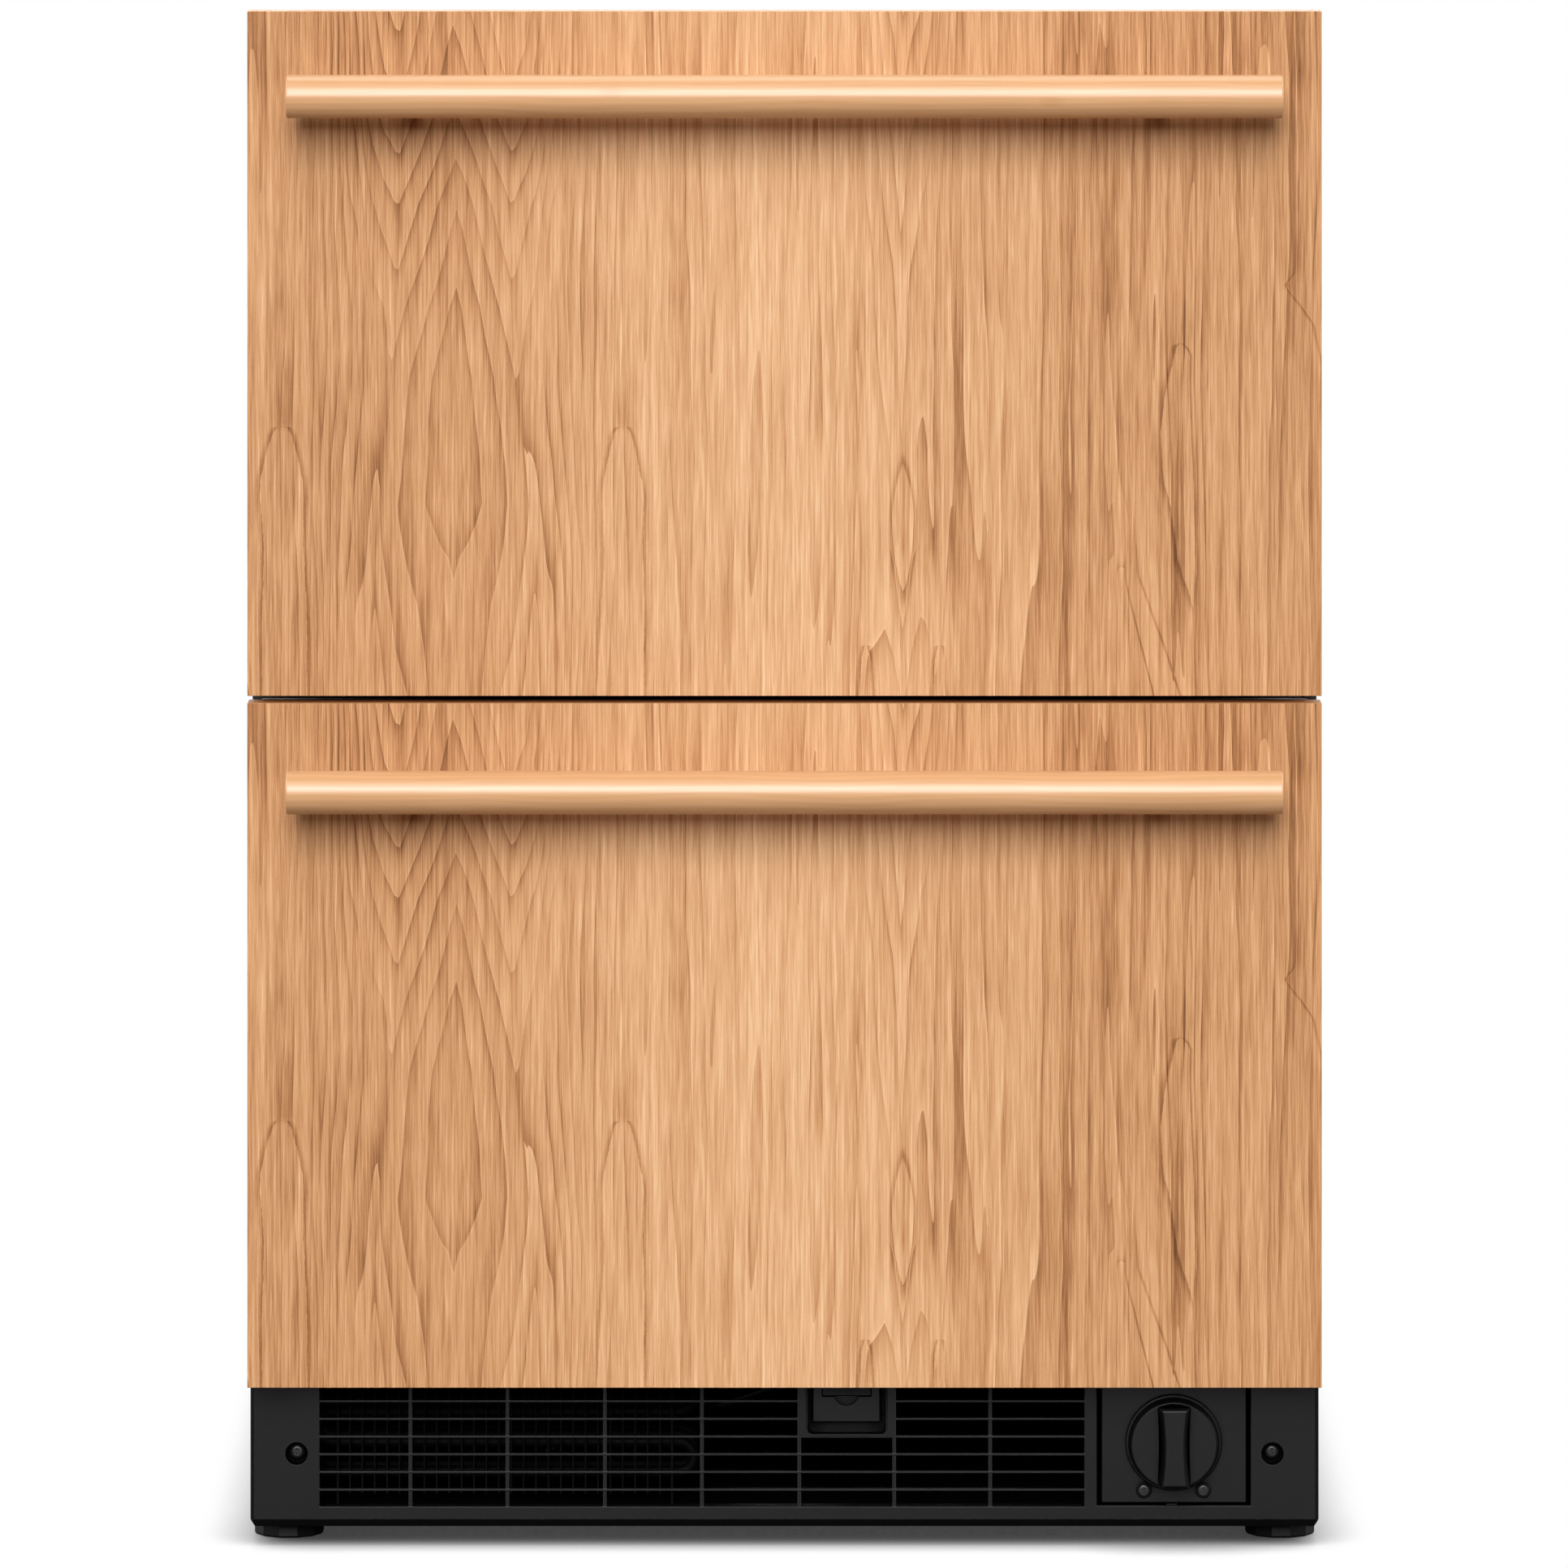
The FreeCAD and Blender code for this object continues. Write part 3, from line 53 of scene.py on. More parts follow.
# ================================================================ node helpers
def lin(c):
    """sRGB 0-255 triple to a linear RGBA."""
    out = []
    for v in c:
        v = v / 255.0
        out.append(v / 12.92 if v <= 0.04045 else ((v + 0.055) / 1.055) ** 2.4)
    return tuple(out) + (1.0,)


class S:
    """A node socket with arithmetic."""

    def __init__(self, net, sock):
        self.net, self.sock = net, sock

    def _m(self, op, o=None, c=None):
        return self.net.math(op, self, o, c)

    def __add__(self, o):
        return self._m("ADD", o)

    __radd__ = __add__

    def __mul__(self, o):
        return self._m("MULTIPLY", o)

    __rmul__ = __mul__

    def __sub__(self, o):
        return self._m("SUBTRACT", o)

    def __rsub__(self, o):
        return self.net.math("SUBTRACT", o, self)

    def __truediv__(self, o):
        return self._m("DIVIDE", o)

    def __neg__(self):
        return self._m("MULTIPLY", -1.0)

    def abs(self):
        return self._m("ABSOLUTE")

    def frac(self):
        return self._m("FRACT")

    def pow(self, p):
        return self._m("POWER", p)

    def min(self, o):
        return self._m("MINIMUM", o)

    def max(self, o):
        return self._m("MAXIMUM", o)

    def gt(self, o):
        return self._m("GREATER_THAN", o)

    def sin(self):
        return self._m("SINE")


class Net:
    """Material builder round one Principled shader."""

    def __init__(self, name):
        self.m = bpy.data.materials.new(name)
        self.m.use_nodes = True
        self.t = self.m.node_tree
        self.t.nodes.clear()
        self.out = self.t.nodes.new("ShaderNodeOutputMaterial")
        self.b = self.t.nodes.new("ShaderNodeBsdfPrincipled")
        self.t.links.new(self.b.outputs[0], self.out.inputs[0])
        tc = self.t.nodes.new("ShaderNodeTexCoord")
        sep = self.t.nodes.new("ShaderNodeSeparateXYZ")
        mul = self.t.nodes.new("ShaderNodeVectorMath")
        mul.operation = "SCALE"
        mul.inputs["Scale"].default_value = 1000.0
        self.t.links.new(tc.outputs["Object"], mul.inputs[0])
        self.t.links.new(mul.outputs[0], sep.inputs[0])
        self.P = S(self, mul.outputs[0])                       # position in millimetres
        self.x, self.y, self.z = (S(self, sep.outputs[i]) for i in range(3))

    def put(self, sock, v):
        if isinstance(v, S):
            self.t.links.new(v.sock, sock)
        else:
            sock.default_value = v

    def math(self, op, a, b=None, c=None):
        n = self.t.nodes.new("ShaderNodeMath")
        n.operation = op
        for i, v in enumerate((a, b, c)):
            if v is not None:
                self.put(n.inputs[i], v)
        return S(self, n.outputs[0])

    def vec(self, x, y, z):
        n = self.t.nodes.new("ShaderNodeCombineXYZ")
        for i, v in enumerate((x, y, z)):
            self.put(n.inputs[i], v)
        return S(self, n.outputs[0])

    def remap(self, v, a, b, lo=0.0, hi=1.0, smooth=True):
        n = self.t.nodes.new("ShaderNodeMapRange")
        n.interpolation_type = "SMOOTHSTEP" if smooth else "LINEAR"
        n.clamp = True
        self.put(n.inputs["Value"], v)
        for k, q in (("From Min", a), ("From Max", b), ("To Min", lo), ("To Max", hi)):
            self.put(n.inputs[k], q)
        return S(self, n.outputs[0])

    def noise(self, v, scale=1.0, detail=2.0, rough=0.5, dist=0.0):
        n = self.t.nodes.new("ShaderNodeTexNoise")
        n.noise_dimensions = "3D"
        self.put(n.inputs["Vector"], v)
        n.inputs["Scale"].default_value = scale
        n.inputs["Detail"].default_value = detail
        n.inputs["Roughness"].default_value = rough
        n.inputs["Distortion"].default_value = dist
        return S(self, n.outputs[0])

    def stretched(self, sx, sy, sz, detail=2.0, rough=0.5, off=0.0, x=None, y=None, z=None):
        """Noise with one feature per (sx, sy, sz) millimetres, centred on zero, about -1..1."""
        v = self.vec((self.x if x is None else x) * (1.0 / sx) + off, (self.y if y is None else y) * (1.0 / sy) + off * 0.7,
                     (self.z if z is None else z) * (1.0 / sz) + off * 1.3)
        return (self.noise(v, 1.0, detail, rough) - 0.5) * 2.0

    def cells(self, size, out="Distance", rand=1.0):
        n = self.t.nodes.new("ShaderNodeTexVoronoi")
        self.put(n.inputs["Vector"], self.P)
        n.inputs["Scale"].default_value = 1.0 / size
        n.inputs["Randomness"].default_value = rand
        return S(self, n.outputs[out])

    def ramp(self, v, stops, interp="LINEAR"):
        n = self.t.nodes.new("ShaderNodeValToRGB")
        cr = n.color_ramp
        cr.interpolation = interp
        while len(cr.elements) < len(stops):
            cr.elements.new(0.5)
        for e, (p, c) in zip(cr.elements, sorted(stops)):
            e.position = p
        for e, (p, c) in zip(cr.elements, sorted(stops)):
            e.color = c
        self.put(n.inputs[0], v)
        return S(self, n.outputs[0])

    def curve(self, v, pts, lo, hi, vector=True):
        """Piecewise curve through pts (x, y) for x between lo and hi."""
        ys = [p[1] for p in pts]
        y0, y1 = min(ys), max(ys)
        span = (y1 - y0) or 1.0
        n = self.t.nodes.new("ShaderNodeFloatCurve")
        c = n.mapping.curves[0]
        q = [((x - lo) / (hi - lo), (y - y0) / span) for x, y in pts]
        while len(c.points) < len(q):
            c.points.new(0.5, 0.5)
        for p, (a, b) in zip(c.points, q):
            p.location = (a, b)
            p.handle_type = "VECTOR" if vector else "AUTO"
        n.mapping.extend = "HORIZONTAL"
        n.mapping.update()
        n.inputs["Factor"].default_value = 1.0
        self.put(n.inputs["Value"], self.remap(v, lo, hi, smooth=False))
        return S(self, n.outputs[0]) * span + y0

    def mix(self, f, a, b, mode="MIX"):
        n = self.t.nodes.new("ShaderNodeMix")
        n.data_type = "RGBA"
        n.blend_type = mode
        self.put(n.inputs["Factor"], f)
        self.put(n.inputs[6], a)
        self.put(n.inputs[7], b)
        return S(self, n.outputs[2])

    def bump(self, h, strength=0.3, dist=0.0002):
        n = self.t.nodes.new("ShaderNodeBump")
        n.inputs["Strength"].default_value = strength
        n.inputs["Distance"].default_value = dist
        self.put(n.inputs["Height"], h)
        self.t.links.new(n.outputs[0], self.b.inputs["Normal"])
        return n

    def edge(self, radius=0.0006, lo=0.02, hi=0.30):
        """Mask that is 1 on outer and inner corners within radius metres, and the rounded normal there."""
        bv = self.t.nodes.new("ShaderNodeBevel")
        bv.samples = 4
        bv.inputs["Radius"].default_value = radius
        geo = self.t.nodes.new("ShaderNodeNewGeometry")
        dot = self.t.nodes.new("ShaderNodeVectorMath")
        dot.operation = "DOT_PRODUCT"
        self.t.links.new(bv.outputs[0], dot.inputs[0])
        self.t.links.new(geo.outputs["True Normal"], dot.inputs[1])
        m = self.remap(1.0 - S(self, dot.outputs["Value"]).abs(), lo, hi)
        return m, bv.outputs[0]

    def depth_shade(self, dist, lo, hi, floor=0.0):
        """1 in the open, falling to floor in narrow recesses dist metres deep."""
        ao = self.t.nodes.new("ShaderNodeAmbientOcclusion")
        ao.samples = 4
        ao.inputs["Distance"].default_value = dist
        return self.remap(S(self, ao.outputs["AO"]), lo, hi, floor, 1.0)

    def set(self, **kw):
        names = {"col": "Base Color", "rough": "Roughness", "metal": "Metallic", "spec": "Specular IOR Level", "ior": "IOR",
                 "trans": "Transmission Weight", "coat": "Coat Weight", "coat_rough": "Coat Roughness", "alpha": "Alpha",
                 "emit": "Emission Color", "emit_s": "Emission Strength", "sss": "Subsurface Weight", "aniso": "Anisotropic",
                 "sheen": "Sheen Weight"}
        for k, v in kw.items():
            self.put(self.b.inputs[names[k]], v)
        return self


def scaled(c, k):
    return tuple(min(1.0, v * k) for v in c[:3]) + (1.0,)


# ================================================================ wood
WOOD_TONES = [(0.0, lin((112, 66, 30))), (0.24, lin((172, 117, 71))), (0.40, lin((203, 147, 99))), (0.50, lin((216, 162, 113))),
              (0.60, lin((228, 176, 128))), (0.74, lin((243, 196, 150))), (1.0, lin((252, 217, 178)))]


def oak():
    """Vertical oak veneer, book-matched, with cathedral figures. v runs down from each panel's top edge, in mm."""
    n = Net("oak_veneer")
    low = n.z * -1.0 + (PANEL_TOP - PANEL_PITCH)
    high = n.z * -1.0 + PANEL_TOP
    is_low = n.math("LESS_THAN", n.z, PANEL_TOP - PANEL_PITCH + 2.0)
    v = high + is_low * (low - high - 1.2)
    x0 = n.x

    def nz(sx, sv, detail=2.0, rough=0.5, off=0.0, x=None):
        vec = n.vec((x0 if x is None else x) * (1.0 / sx) + off, v * (1.0 / sv) + off * 1.7, off * 0.31)
        return (n.noise(vec, 1.0, detail, rough) - 0.5) * 2.0

    w = x0 + nz(70, 210, 1.0, off=3.1) * 5.0 + nz(26, 70, 1.0, off=8.3) * 1.5 + nz(7, 26, 1.0, off=5.7) * 0.35
    m1 = (w + 184.7).abs()                    # first book-match axis
    m2 = (w - 65.8).abs()                     # second book-match axis

    # --- left pair of cathedrals: zig-zag crowns, a long lens between them, inverted crowns below
    shift = n.remap(v, 150, 350) * 13.6 * n.curve(m1, [(0, 0), (32, 1), (45, 1), (85, 0)], 0, 85)
    q = m1 - shift
    t1 = n.curve(q, [(0, 0), (4, -0.3), (31.7, -2.9), (34, -2.85), (46, -1.9), (58, 0.2), (80, 4.6), (120, 8.0)], 0, 120)
    h1 = n.curve(v, [(0, -3.2), (60, -1.7), (108, 0.0), (165, 1.35), (205, 1.9), (235, 1.95), (275.6, 1.86), (312, 1.4), (350.6, 0.86), (386, 0.35)], 0, 386)
    w1 = n.curve(m1, [(0, 1), (40, 1), (78, 0)], 0, 78)
    wc = n.remap(m1, 28, 12)
    hc = n.curve(v, [(0, -3.2), (60, -1.7), (108, 0.0), (165, 1.35), (205, 1.9), (235, 1.95), (275, 1.9), (305, 1.2), (330, 0.9), (386, 0.8)], 0, 386)
    f_left = t1 + (h1 + wc * (hc - h1)) * w1

    # --- second axis: slim nested points that pinch and open into a pointed ellipse
    t2 = n.curve(m2, [(0, 0.0), (5, 0.75), (12, 1.3), (22, 2.1), (45, 3.4), (135, 8.4)], 0, 135)
    h2 = n.curve(v, [(0, -2.0), (80, -0.6), (150, 0.35), (245, 1.0), (300, 1.05), (340, 1.9), (386, 3.0)], 0, 386)
    w2 = n.curve(m2, [(0, 1), (9, 1), (26, 0)], 0, 26)
    f_mid = t2 + h2 * w2 + 20.0
    f_right = x0 * 0.0 + (w - 200.0) * 0.062 + 31.0
    left = n.math("LESS_THAN", w, -69.0)
    right = n.math("GREATER_THAN", w, 198.0)
    f = f_mid + left * (f_left - f_mid) + right * (f_right - f_mid)
    # irregular ring spacing, always along the grain
    g = n.math("MINIMUM", m1, m2 + 300.0)
    f = f + (n.noise(n.vec(g * (1 / 15.0), v * (1 / 900.0), 1.0), 1.0, 1.0, 0.6) - 0.5) * 3.4 * (1.0 - n.remap(m1, 60, 34)) * (1.0 - n.remap(m2, 20, 10))
    f = f + nz(55, 170, 1.0, off=21.0) * 0.42

    def step_in(a, soft=0.45):
        return n.remap(a, -soft, soft)

    # --- arch tops
    arch_w = n.curve(v, [(0, -30), (231, -30), (231.6, 2.6), (236, 5.4), (246, 8.2), (262, 11.8), (272, 12.6), (300, 11.2), (386, 12.4)], 0, 386)
    ragged = nz(1.6, 3.0, 1.0, off=2.0) * 0.5
    a1 = step_in(arch_w - (m1 - 94.7).abs() + ragged)
    small_w = n.curve(v, [(0, -30), (352, -30), (354, 1.2), (362, 3.0), (386, 4.2)], 0, 386)
    a2 = step_in(small_w - (m2 - 19.3).abs() + ragged)
    # --- pointed ellipse
    e = 1.0 - (m2 / 6.3).pow(1.35) - ((v - 283.0) / n.curve(v, [(0, 30), (283, 30), (284, 42), (386, 42)], 0, 386)).abs().pow(1.6)
    a3 = n.remap(e, -0.05, 0.08)
    # --- flame on the right
    fl = n.curve(v, [(0, 222), (186, 222), (187, 219.5), (200, 216.5), (216, 212.2), (236, 210.2), (262, 211.6), (280, 216.0), (306, 219.5), (336, 228), (386, 228)], 0, 386)
    fr = n.curve(v, [(0, 222), (186, 222), (187.5, 225), (192, 227.6), (262, 228.4), (310, 229), (336, 228), (386, 228)], 0, 386)
    a4 = step_in(n.math("MINIMUM", w - fl, fr - w) + ragged * 0.7, 0.35) * n.math("GREATER_THAN", v, 186.0)
    d1 = n.curve(v, [(0, 190), (316, 191.6), (386, 206.5)], 0, 386)
    a5 = step_in(d1 - w, 0.4) * n.remap(v, 300, 316) * n.remap(w, 180, 188)
    d2 = n.curve(v, [(0, 197), (280, 196), (315, 199), (386, 221)], 0, 386)
    a6 = step_in(d2 - w, 0.5) * n.remap(v, 250, 290) * n.remap(w, 184, 194)
    # --- side figure near the right edge
    e1 = n.curve(v, [(0, 284.0), (142, 284.5), (147, 284.0), (153, 279.5), (163, 287.0), (175, 295.5), (200, 301), (386, 304)], 0, 386)
    a7 = step_in(w - e1, 0.4)
    f = f + a1 + a2 + a3 + a4 - a5 - a6 + a7

    def outline(d, out_w, in_w=0.5):
        """Dark late wood on the outside (d < 0) of a figure's edge, fading over out_w mm, sharp on the inside."""
        return n.remap(d, -out_w, -0.1) * n.remap(d, in_w, 0.05)

    o1 = outline(arch_w - (m1 - 94.7).abs() + ragged, 3.4) * n.math("GREATER_THAN", v, 229.5)
    o2 = outline(small_w - (m2 - 19.3).abs() + ragged, 2.6) * n.math("GREATER_THAN", v, 350.5)
    o3 = outline(e * 4.0, 2.2, 0.4)
    o4 = outline(n.math("MINIMUM", (w - fl) * 0.8, (fr - w) * 1.4) + ragged * 0.7, 3.2) * n.remap(v, 184.5, 187) * n.remap(v, 345, 325)
    o5 = n.remap((d1 - w).abs(), 0.9, 0.1) * n.remap(v, 300, 330) + n.remap((d2 - w).abs(), 1.2, 0.1) * n.remap(v, 270, 310) * 0.7
    o7 = outline(w - e1, 2.2, 0.5) * n.remap(v, 120, 145) * 0.8
    edges = (o1 + o2 + o3 + o4 + o5 + o7).min(1.0)

    p = f.frac()
    strength = n.remap(nz(34, 90, 1.0, off=14.0), -0.55, 0.55, 0.25, 1.0)
    dark = n.curve(p, [(0, 1.0), (0.05, 0.92), (0.16, 0.55), (0.34, 0.22), (0.6, 0.04), (0.93, 0.0), (1.0, -0.28)], 0, 1)
    # fuzzy dark patches above the arch tops and along the slim figure
    sm1 = n.remap((m1 - 94.7).abs(), 8.0, 1.5) * n.remap(v, 190, 226) * n.remap(v, 236, 229)
    sm2 = n.remap((m2 - 93.2).abs(), 6.0, 0.5) * n.remap(v, 88, 106) * n.remap(v, 190, 130)
    sm3 = n.remap((w - 222.0).abs(), 10.0, 2.0) * n.remap(v, 150, 184) * n.remap(v, 196, 184)
    sm4 = n.remap(n.math("MINIMUM", w - (fl - 11.0), fl - w), 0.0, 10.0) * n.remap(v, 196, 226) * n.remap(v, 360, 290)
    smudge = (sm1 * 0.75 + sm2 * 0.55 + sm3 * 0.8 + sm4 * 0.8) * n.remap(nz(1.2, 30, 1.0, off=4.0), -0.5, 0.4, 0.45, 1.0)

    fine = nz(1.15, 60, 2.0, 0.55, off=1.0) * 0.27 + nz(0.55, 22, 1.0, 0.5, off=6.0) * 0.18 + nz(3.6, 130, 2.0, 0.6, off=9.0) * 0.18
    bright = n.remap(nz(0.95, 38, 1.0, off=31.0), 0.22, 0.62) * 0.15
    pores = n.remap(nz(0.42, 7.0, 1.0, off=17.0), 0.26, 0.62) * n.remap(nz(2.4, 60, 1.0, off=12.0), -0.25, 0.5, 0.35, 1.0)
    specks = nz(0.35, 1.1, 1.0, off=40.0) * 0.04
    # painted sheen: a broad lighter band across the middle of the panel width, for the lacquer's reflection of the
    # key light
    painted_sheen_band = n.curve(x0, [(-300, -0.060), (-270, -0.062), (-184, -0.058), (-160, -0.022), (-115, 0.012), (-80, 0.045), (-45, 0.052), (-24, 0.074), (8, 0.078),
                         (50, 0.066), (66, 0.056), (88, 0.014), (120, 0.024), (142, -0.010), (160, -0.052), (220, -0.050), (300, -0.062)], -300, 300, vector=False)
    tone = 0.525 + painted_sheen_band * 1.25 + fine + bright + specks - pores * 0.10 - dark * strength * 0.29 - smudge * 0.17 - edges * 0.21
    # edges of the panel: darker end lipping on the top and bottom, long grain on the sides
    geo = n.t.nodes.new("ShaderNodeNewGeometry")
    nsep = n.t.nodes.new("ShaderNodeSeparateXYZ")
    n.t.links.new(geo.outputs["True Normal"], nsep.inputs[0])
    facing_z = S(n, nsep.outputs[2]).abs().gt(0.8)
    edge_grain = (n.noise(n.vec(n.x * (1 / 60.0), n.y * (1 / 0.8), 3.0), 1.0, 2.0, 0.5) - 0.5) * 0.30
    tone_edge = 0.37 + edge_grain
    tone = tone + facing_z * (tone_edge - tone)
    # painted highlight: a corner mask that lightens the bottom edge of each panel
    edge_highlight, bn = n.edge(0.0007)
    # painted shade: the tone is also darkened from each panel's top edge down to just above its handle rod
    tone = tone + edge_highlight * n.math("GREATER_THAN", v, 379.0) * 0.22 - n.remap(v, 46, 34) * 0.045
    n.set(col=n.ramp(tone, WOOD_TONES), rough=n.remap(tone, 0.25, 0.75, 0.54, 0.42, smooth=False), spec=0.26 - facing_z * 0.24, coat=0.0, coat_rough=0.32)
    n.bump(fine * 0.9 - pores * 0.7 - dark * 0.12, 0.14, 0.00012)
    return n.m


def rod_wood():
    """Smooth long-grain wood of the handle rods: the grain runs along X."""
    n = Net("handle_wood")

    def nz(sx, sr, detail=2.0, rough=0.5, off=0.0):
        vec = n.vec(n.x * (1.0 / sx) + off, n.y * (1.0 / sr) + off * 0.5, n.z * (1.0 / sr) + off * 1.9)
        return (n.noise(vec, 1.0, detail, rough) - 0.5) * 2.0

    wav = nz(90, 22, 1.0, off=2.0) * 3.0
    rings = (n.z + n.y * 0.35 + wav) * 0.30 + nz(140, 9, 1.0, off=7.0) * 0.8
    band = (rings * 6.2832).sin() * 0.020
    fine = nz(46, 0.9, 2.0, 0.55, off=1.0) * 0.040 + nz(16, 0.45, 1.0, 0.5, off=5.0) * 0.022
    cloud = nz(55, 30, 2.0, 0.6, off=11.0) * 0.030
    # two faint knots
    knots = None
    for kx, kz in ((-96.0, 3.0), (148.0, -2.0)):
        r = ((n.x - kx) / 9.0).abs().pow(2.0) + ((n.z - kz - PANEL_TOP + 45.4) / 4.0).abs().pow(2.0)
        k = n.remap(r, 1.0, 0.0) * 0.05
        knots = k if knots is None else knots + k
    fleck = n.remap(nz(3.2, 0.45, 1.0, off=23.0), 0.42, 0.7) * 0.035
    tone = 0.572 + band * 1.3 + fine + cloud * 1.3 - knots - fleck
    endg = (n.noise(n.vec(0.0, n.y * 1.6, n.z * 1.6), 1.0, 2.0, 0.6) - 0.5) * 0.22
    geo = n.t.nodes.new("ShaderNodeNewGeometry")
    nsep = n.t.nodes.new("ShaderNodeSeparateXYZ")
    n.t.links.new(geo.outputs["True Normal"], nsep.inputs[0])
    facing_x = S(n, nsep.outputs[0]).abs().gt(0.9)
    tone = tone + facing_x * (0.40 + endg - tone)
    n.set(col=n.ramp(tone, WOOD_TONES), rough=n.remap(tone, 0.3, 0.7, 0.42, 0.33, smooth=False), spec=0.55, coat=0.15, coat_rough=0.24)
    n.bump(fine * 2.0 - fleck, 0.12, 0.0001)
    return n.m


# ================================================================ plastics, metals, rubber
def moulded(name, col, rough=0.5, grain=0.35, bump=0.25, var=0.10, spec=0.5, coat=0.0, haze=None, dist=0.00006, edge_highlight=None, recess=None):
    """Injection-moulded plastic: spark-eroded grain, faint flow clouds, dust haze in broad patches, a painted
    highlight that lightens the corners when a corner colour is given, and painted shade deep in holes and slots when
    recess is given."""
    n = Net(name)
    c = lin(col)
    g = n.noise(n.P, 1.0 / grain, 2.0, 0.6)
    flow = n.noise(n.P, 1.0 / 60.0, 3.0, 0.55)
    f = (g - 0.5) * var * 1.2 + (flow - 0.5) * var * 2.0 + 0.5
    hz = haze or scaled(c, 1.0 + var * 2.5)
    colour = n.ramp(f, [(0.15, scaled(c, 1.0 - var * 1.6)), (0.5, c), (0.85, hz)])
    r = n.remap(flow, 0.3, 0.7, rough - 0.06, rough + 0.07, smooth=False)
    bn = None
    if edge_highlight is not None:
        # painted highlight: the corners are mixed towards the lighter corner colour
        mask, bn = n.edge()
        colour = n.mix(mask * 0.8, colour, lin(edge_highlight))
        r = r - mask * 0.12
    # painted shade: colour and specular fall towards black deep in holes and slots
    if recess is not None:
        shade = n.depth_shade(recess, 0.30, 0.72)
        colour = n.mix(shade, (0.0008, 0.0007, 0.0008, 1.0), colour)
        spec = shade * spec
    n.set(col=colour, rough=r, spec=spec, coat=coat, coat_rough=0.15)
    bp = n.bump(g, bump, dist)
    if bn is not None:
        n.t.links.new(bn, bp.inputs["Normal"])
    return n.m


def powder(name, col, rough=0.42):
    """Powder-coated sheet steel with a fine orange-peel surface."""
    n = Net(name)
    c = lin(col)
    peel = n.noise(n.P, 1.0 / 1.1, 2.0, 0.5)
    fine = n.noise(n.P, 1.0 / 0.28, 1.0, 0.5)
    cloud = n.noise(n.P, 1.0 / 150.0, 3.0, 0.5)
    n.set(col=n.ramp(cloud, [(0.25, scaled(c, 0.85)), (0.5, c), (0.8, scaled(c, 1.25))]),
          rough=n.remap(cloud + (fine - 0.5) * 0.2, 0.3, 0.7, rough - 0.05, rough + 0.08, smooth=False), spec=0.5)
    n.bump(peel * 0.8 + fine * 0.2, 0.30, 0.00008)
    return n.m


def galvanised(name):
    """Zinc-coated sheet with soft spangle and rolling lines."""
    n = Net(name)
    cell = n.cells(9.0, "Color")
    sepn = n.t.nodes.new("ShaderNodeSeparateColor")
    n.put(sepn.inputs[0], cell)
    sp = S(n, sepn.outputs[0])
    roll = n.stretched(400, 0.7, 0.7, 2.0) * 0.5 + 0.5
    cloud = n.noise(n.P, 1.0 / 70.0, 3.0, 0.6)
    v = sp * 0.35 + roll * 0.25 + cloud * 0.4
    n.set(col=n.ramp(v, [(0.2, lin((134, 138, 140))), (0.5, lin((168, 172, 174))), (0.8, lin((194, 198, 199)))]),
          metal=0.85, rough=n.remap(v, 0.2, 0.8, 0.30, 0.52, smooth=False))
    n.bump(roll * 0.5 + sp * 0.3, 0.12, 0.00008)
    return n.m


def brushed(name, col, along="y", rough=0.32, metal=1.0):
    n = Net(name)
    c = lin(col)
    s = {"x": (120, 0.35, 0.35), "y": (0.35, 120, 0.35), "z": (0.35, 0.35, 120)}[along]
    b = n.stretched(*s, detail=2.0) * 0.5 + 0.5
    cloud = n.noise(n.P, 1.0 / 25.0, 2.0, 0.6)
    v = b * 0.6 + cloud * 0.4
    n.set(col=n.ramp(v, [(0.2, scaled(c, 0.72)), (0.5, c), (0.8, scaled(c, 1.15))]), metal=metal,
          rough=n.remap(v, 0.25, 0.75, rough - 0.07, rough + 0.12, smooth=False))
    n.bump(b, 0.15, 0.00005)
    return n.m


def rubber(name, col, rough=0.75, grain=0.25):
    n = Net(name)
    c = lin(col)
    g = n.noise(n.P, 1.0 / grain, 2.0, 0.6)
    dust = n.noise(n.P, 1.0 / 18.0, 4.0, 0.65)
    n.set(col=n.ramp(dust, [(0.3, scaled(c, 0.8)), (0.55, c), (0.8, scaled(c, 1.7))]), rough=n.remap(dust, 0.3, 0.7, rough - 0.1, rough + 0.1, smooth=False),
          spec=0.35, sheen=0.05)
    n.bump(g, 0.3, 0.00006)
    return n.m


def foam():
    n = Net("insulation_foam")
    d = n.cells(1.6)
    big = n.noise(n.P, 1.0 / 40.0, 3.0, 0.6)
    v = d * 0.35 + big * 0.65
    n.set(col=n.ramp(v, [(0.2, lin((214, 190, 122))), (0.5, lin((236, 219, 160))), (0.8, lin((246, 234, 186)))]), rough=0.85, spec=0.25)
    n.bump(d, 0.5, 0.0003)
    return n.m


def vacuum_formed(name):
    """White liner: gloss with very soft thickness waves and pebble."""
    n = Net(name)
    wave = n.noise(n.P, 1.0 / 45.0, 2.0, 0.5)
    peb = n.noise(n.P, 1.0 / 0.9, 2.0, 0.5)
    n.set(col=n.ramp(wave, [(0.25, lin((232, 235, 236))), (0.55, lin((243, 245, 245))), (0.8, lin((247, 248, 248)))]),
          rough=n.remap(wave, 0.3, 0.7, 0.26, 0.38, smooth=False), spec=0.5, sss=0.0)
    n.bump(peb * 0.3 + wave * 1.4, 0.18, 0.00018)
    return n.m


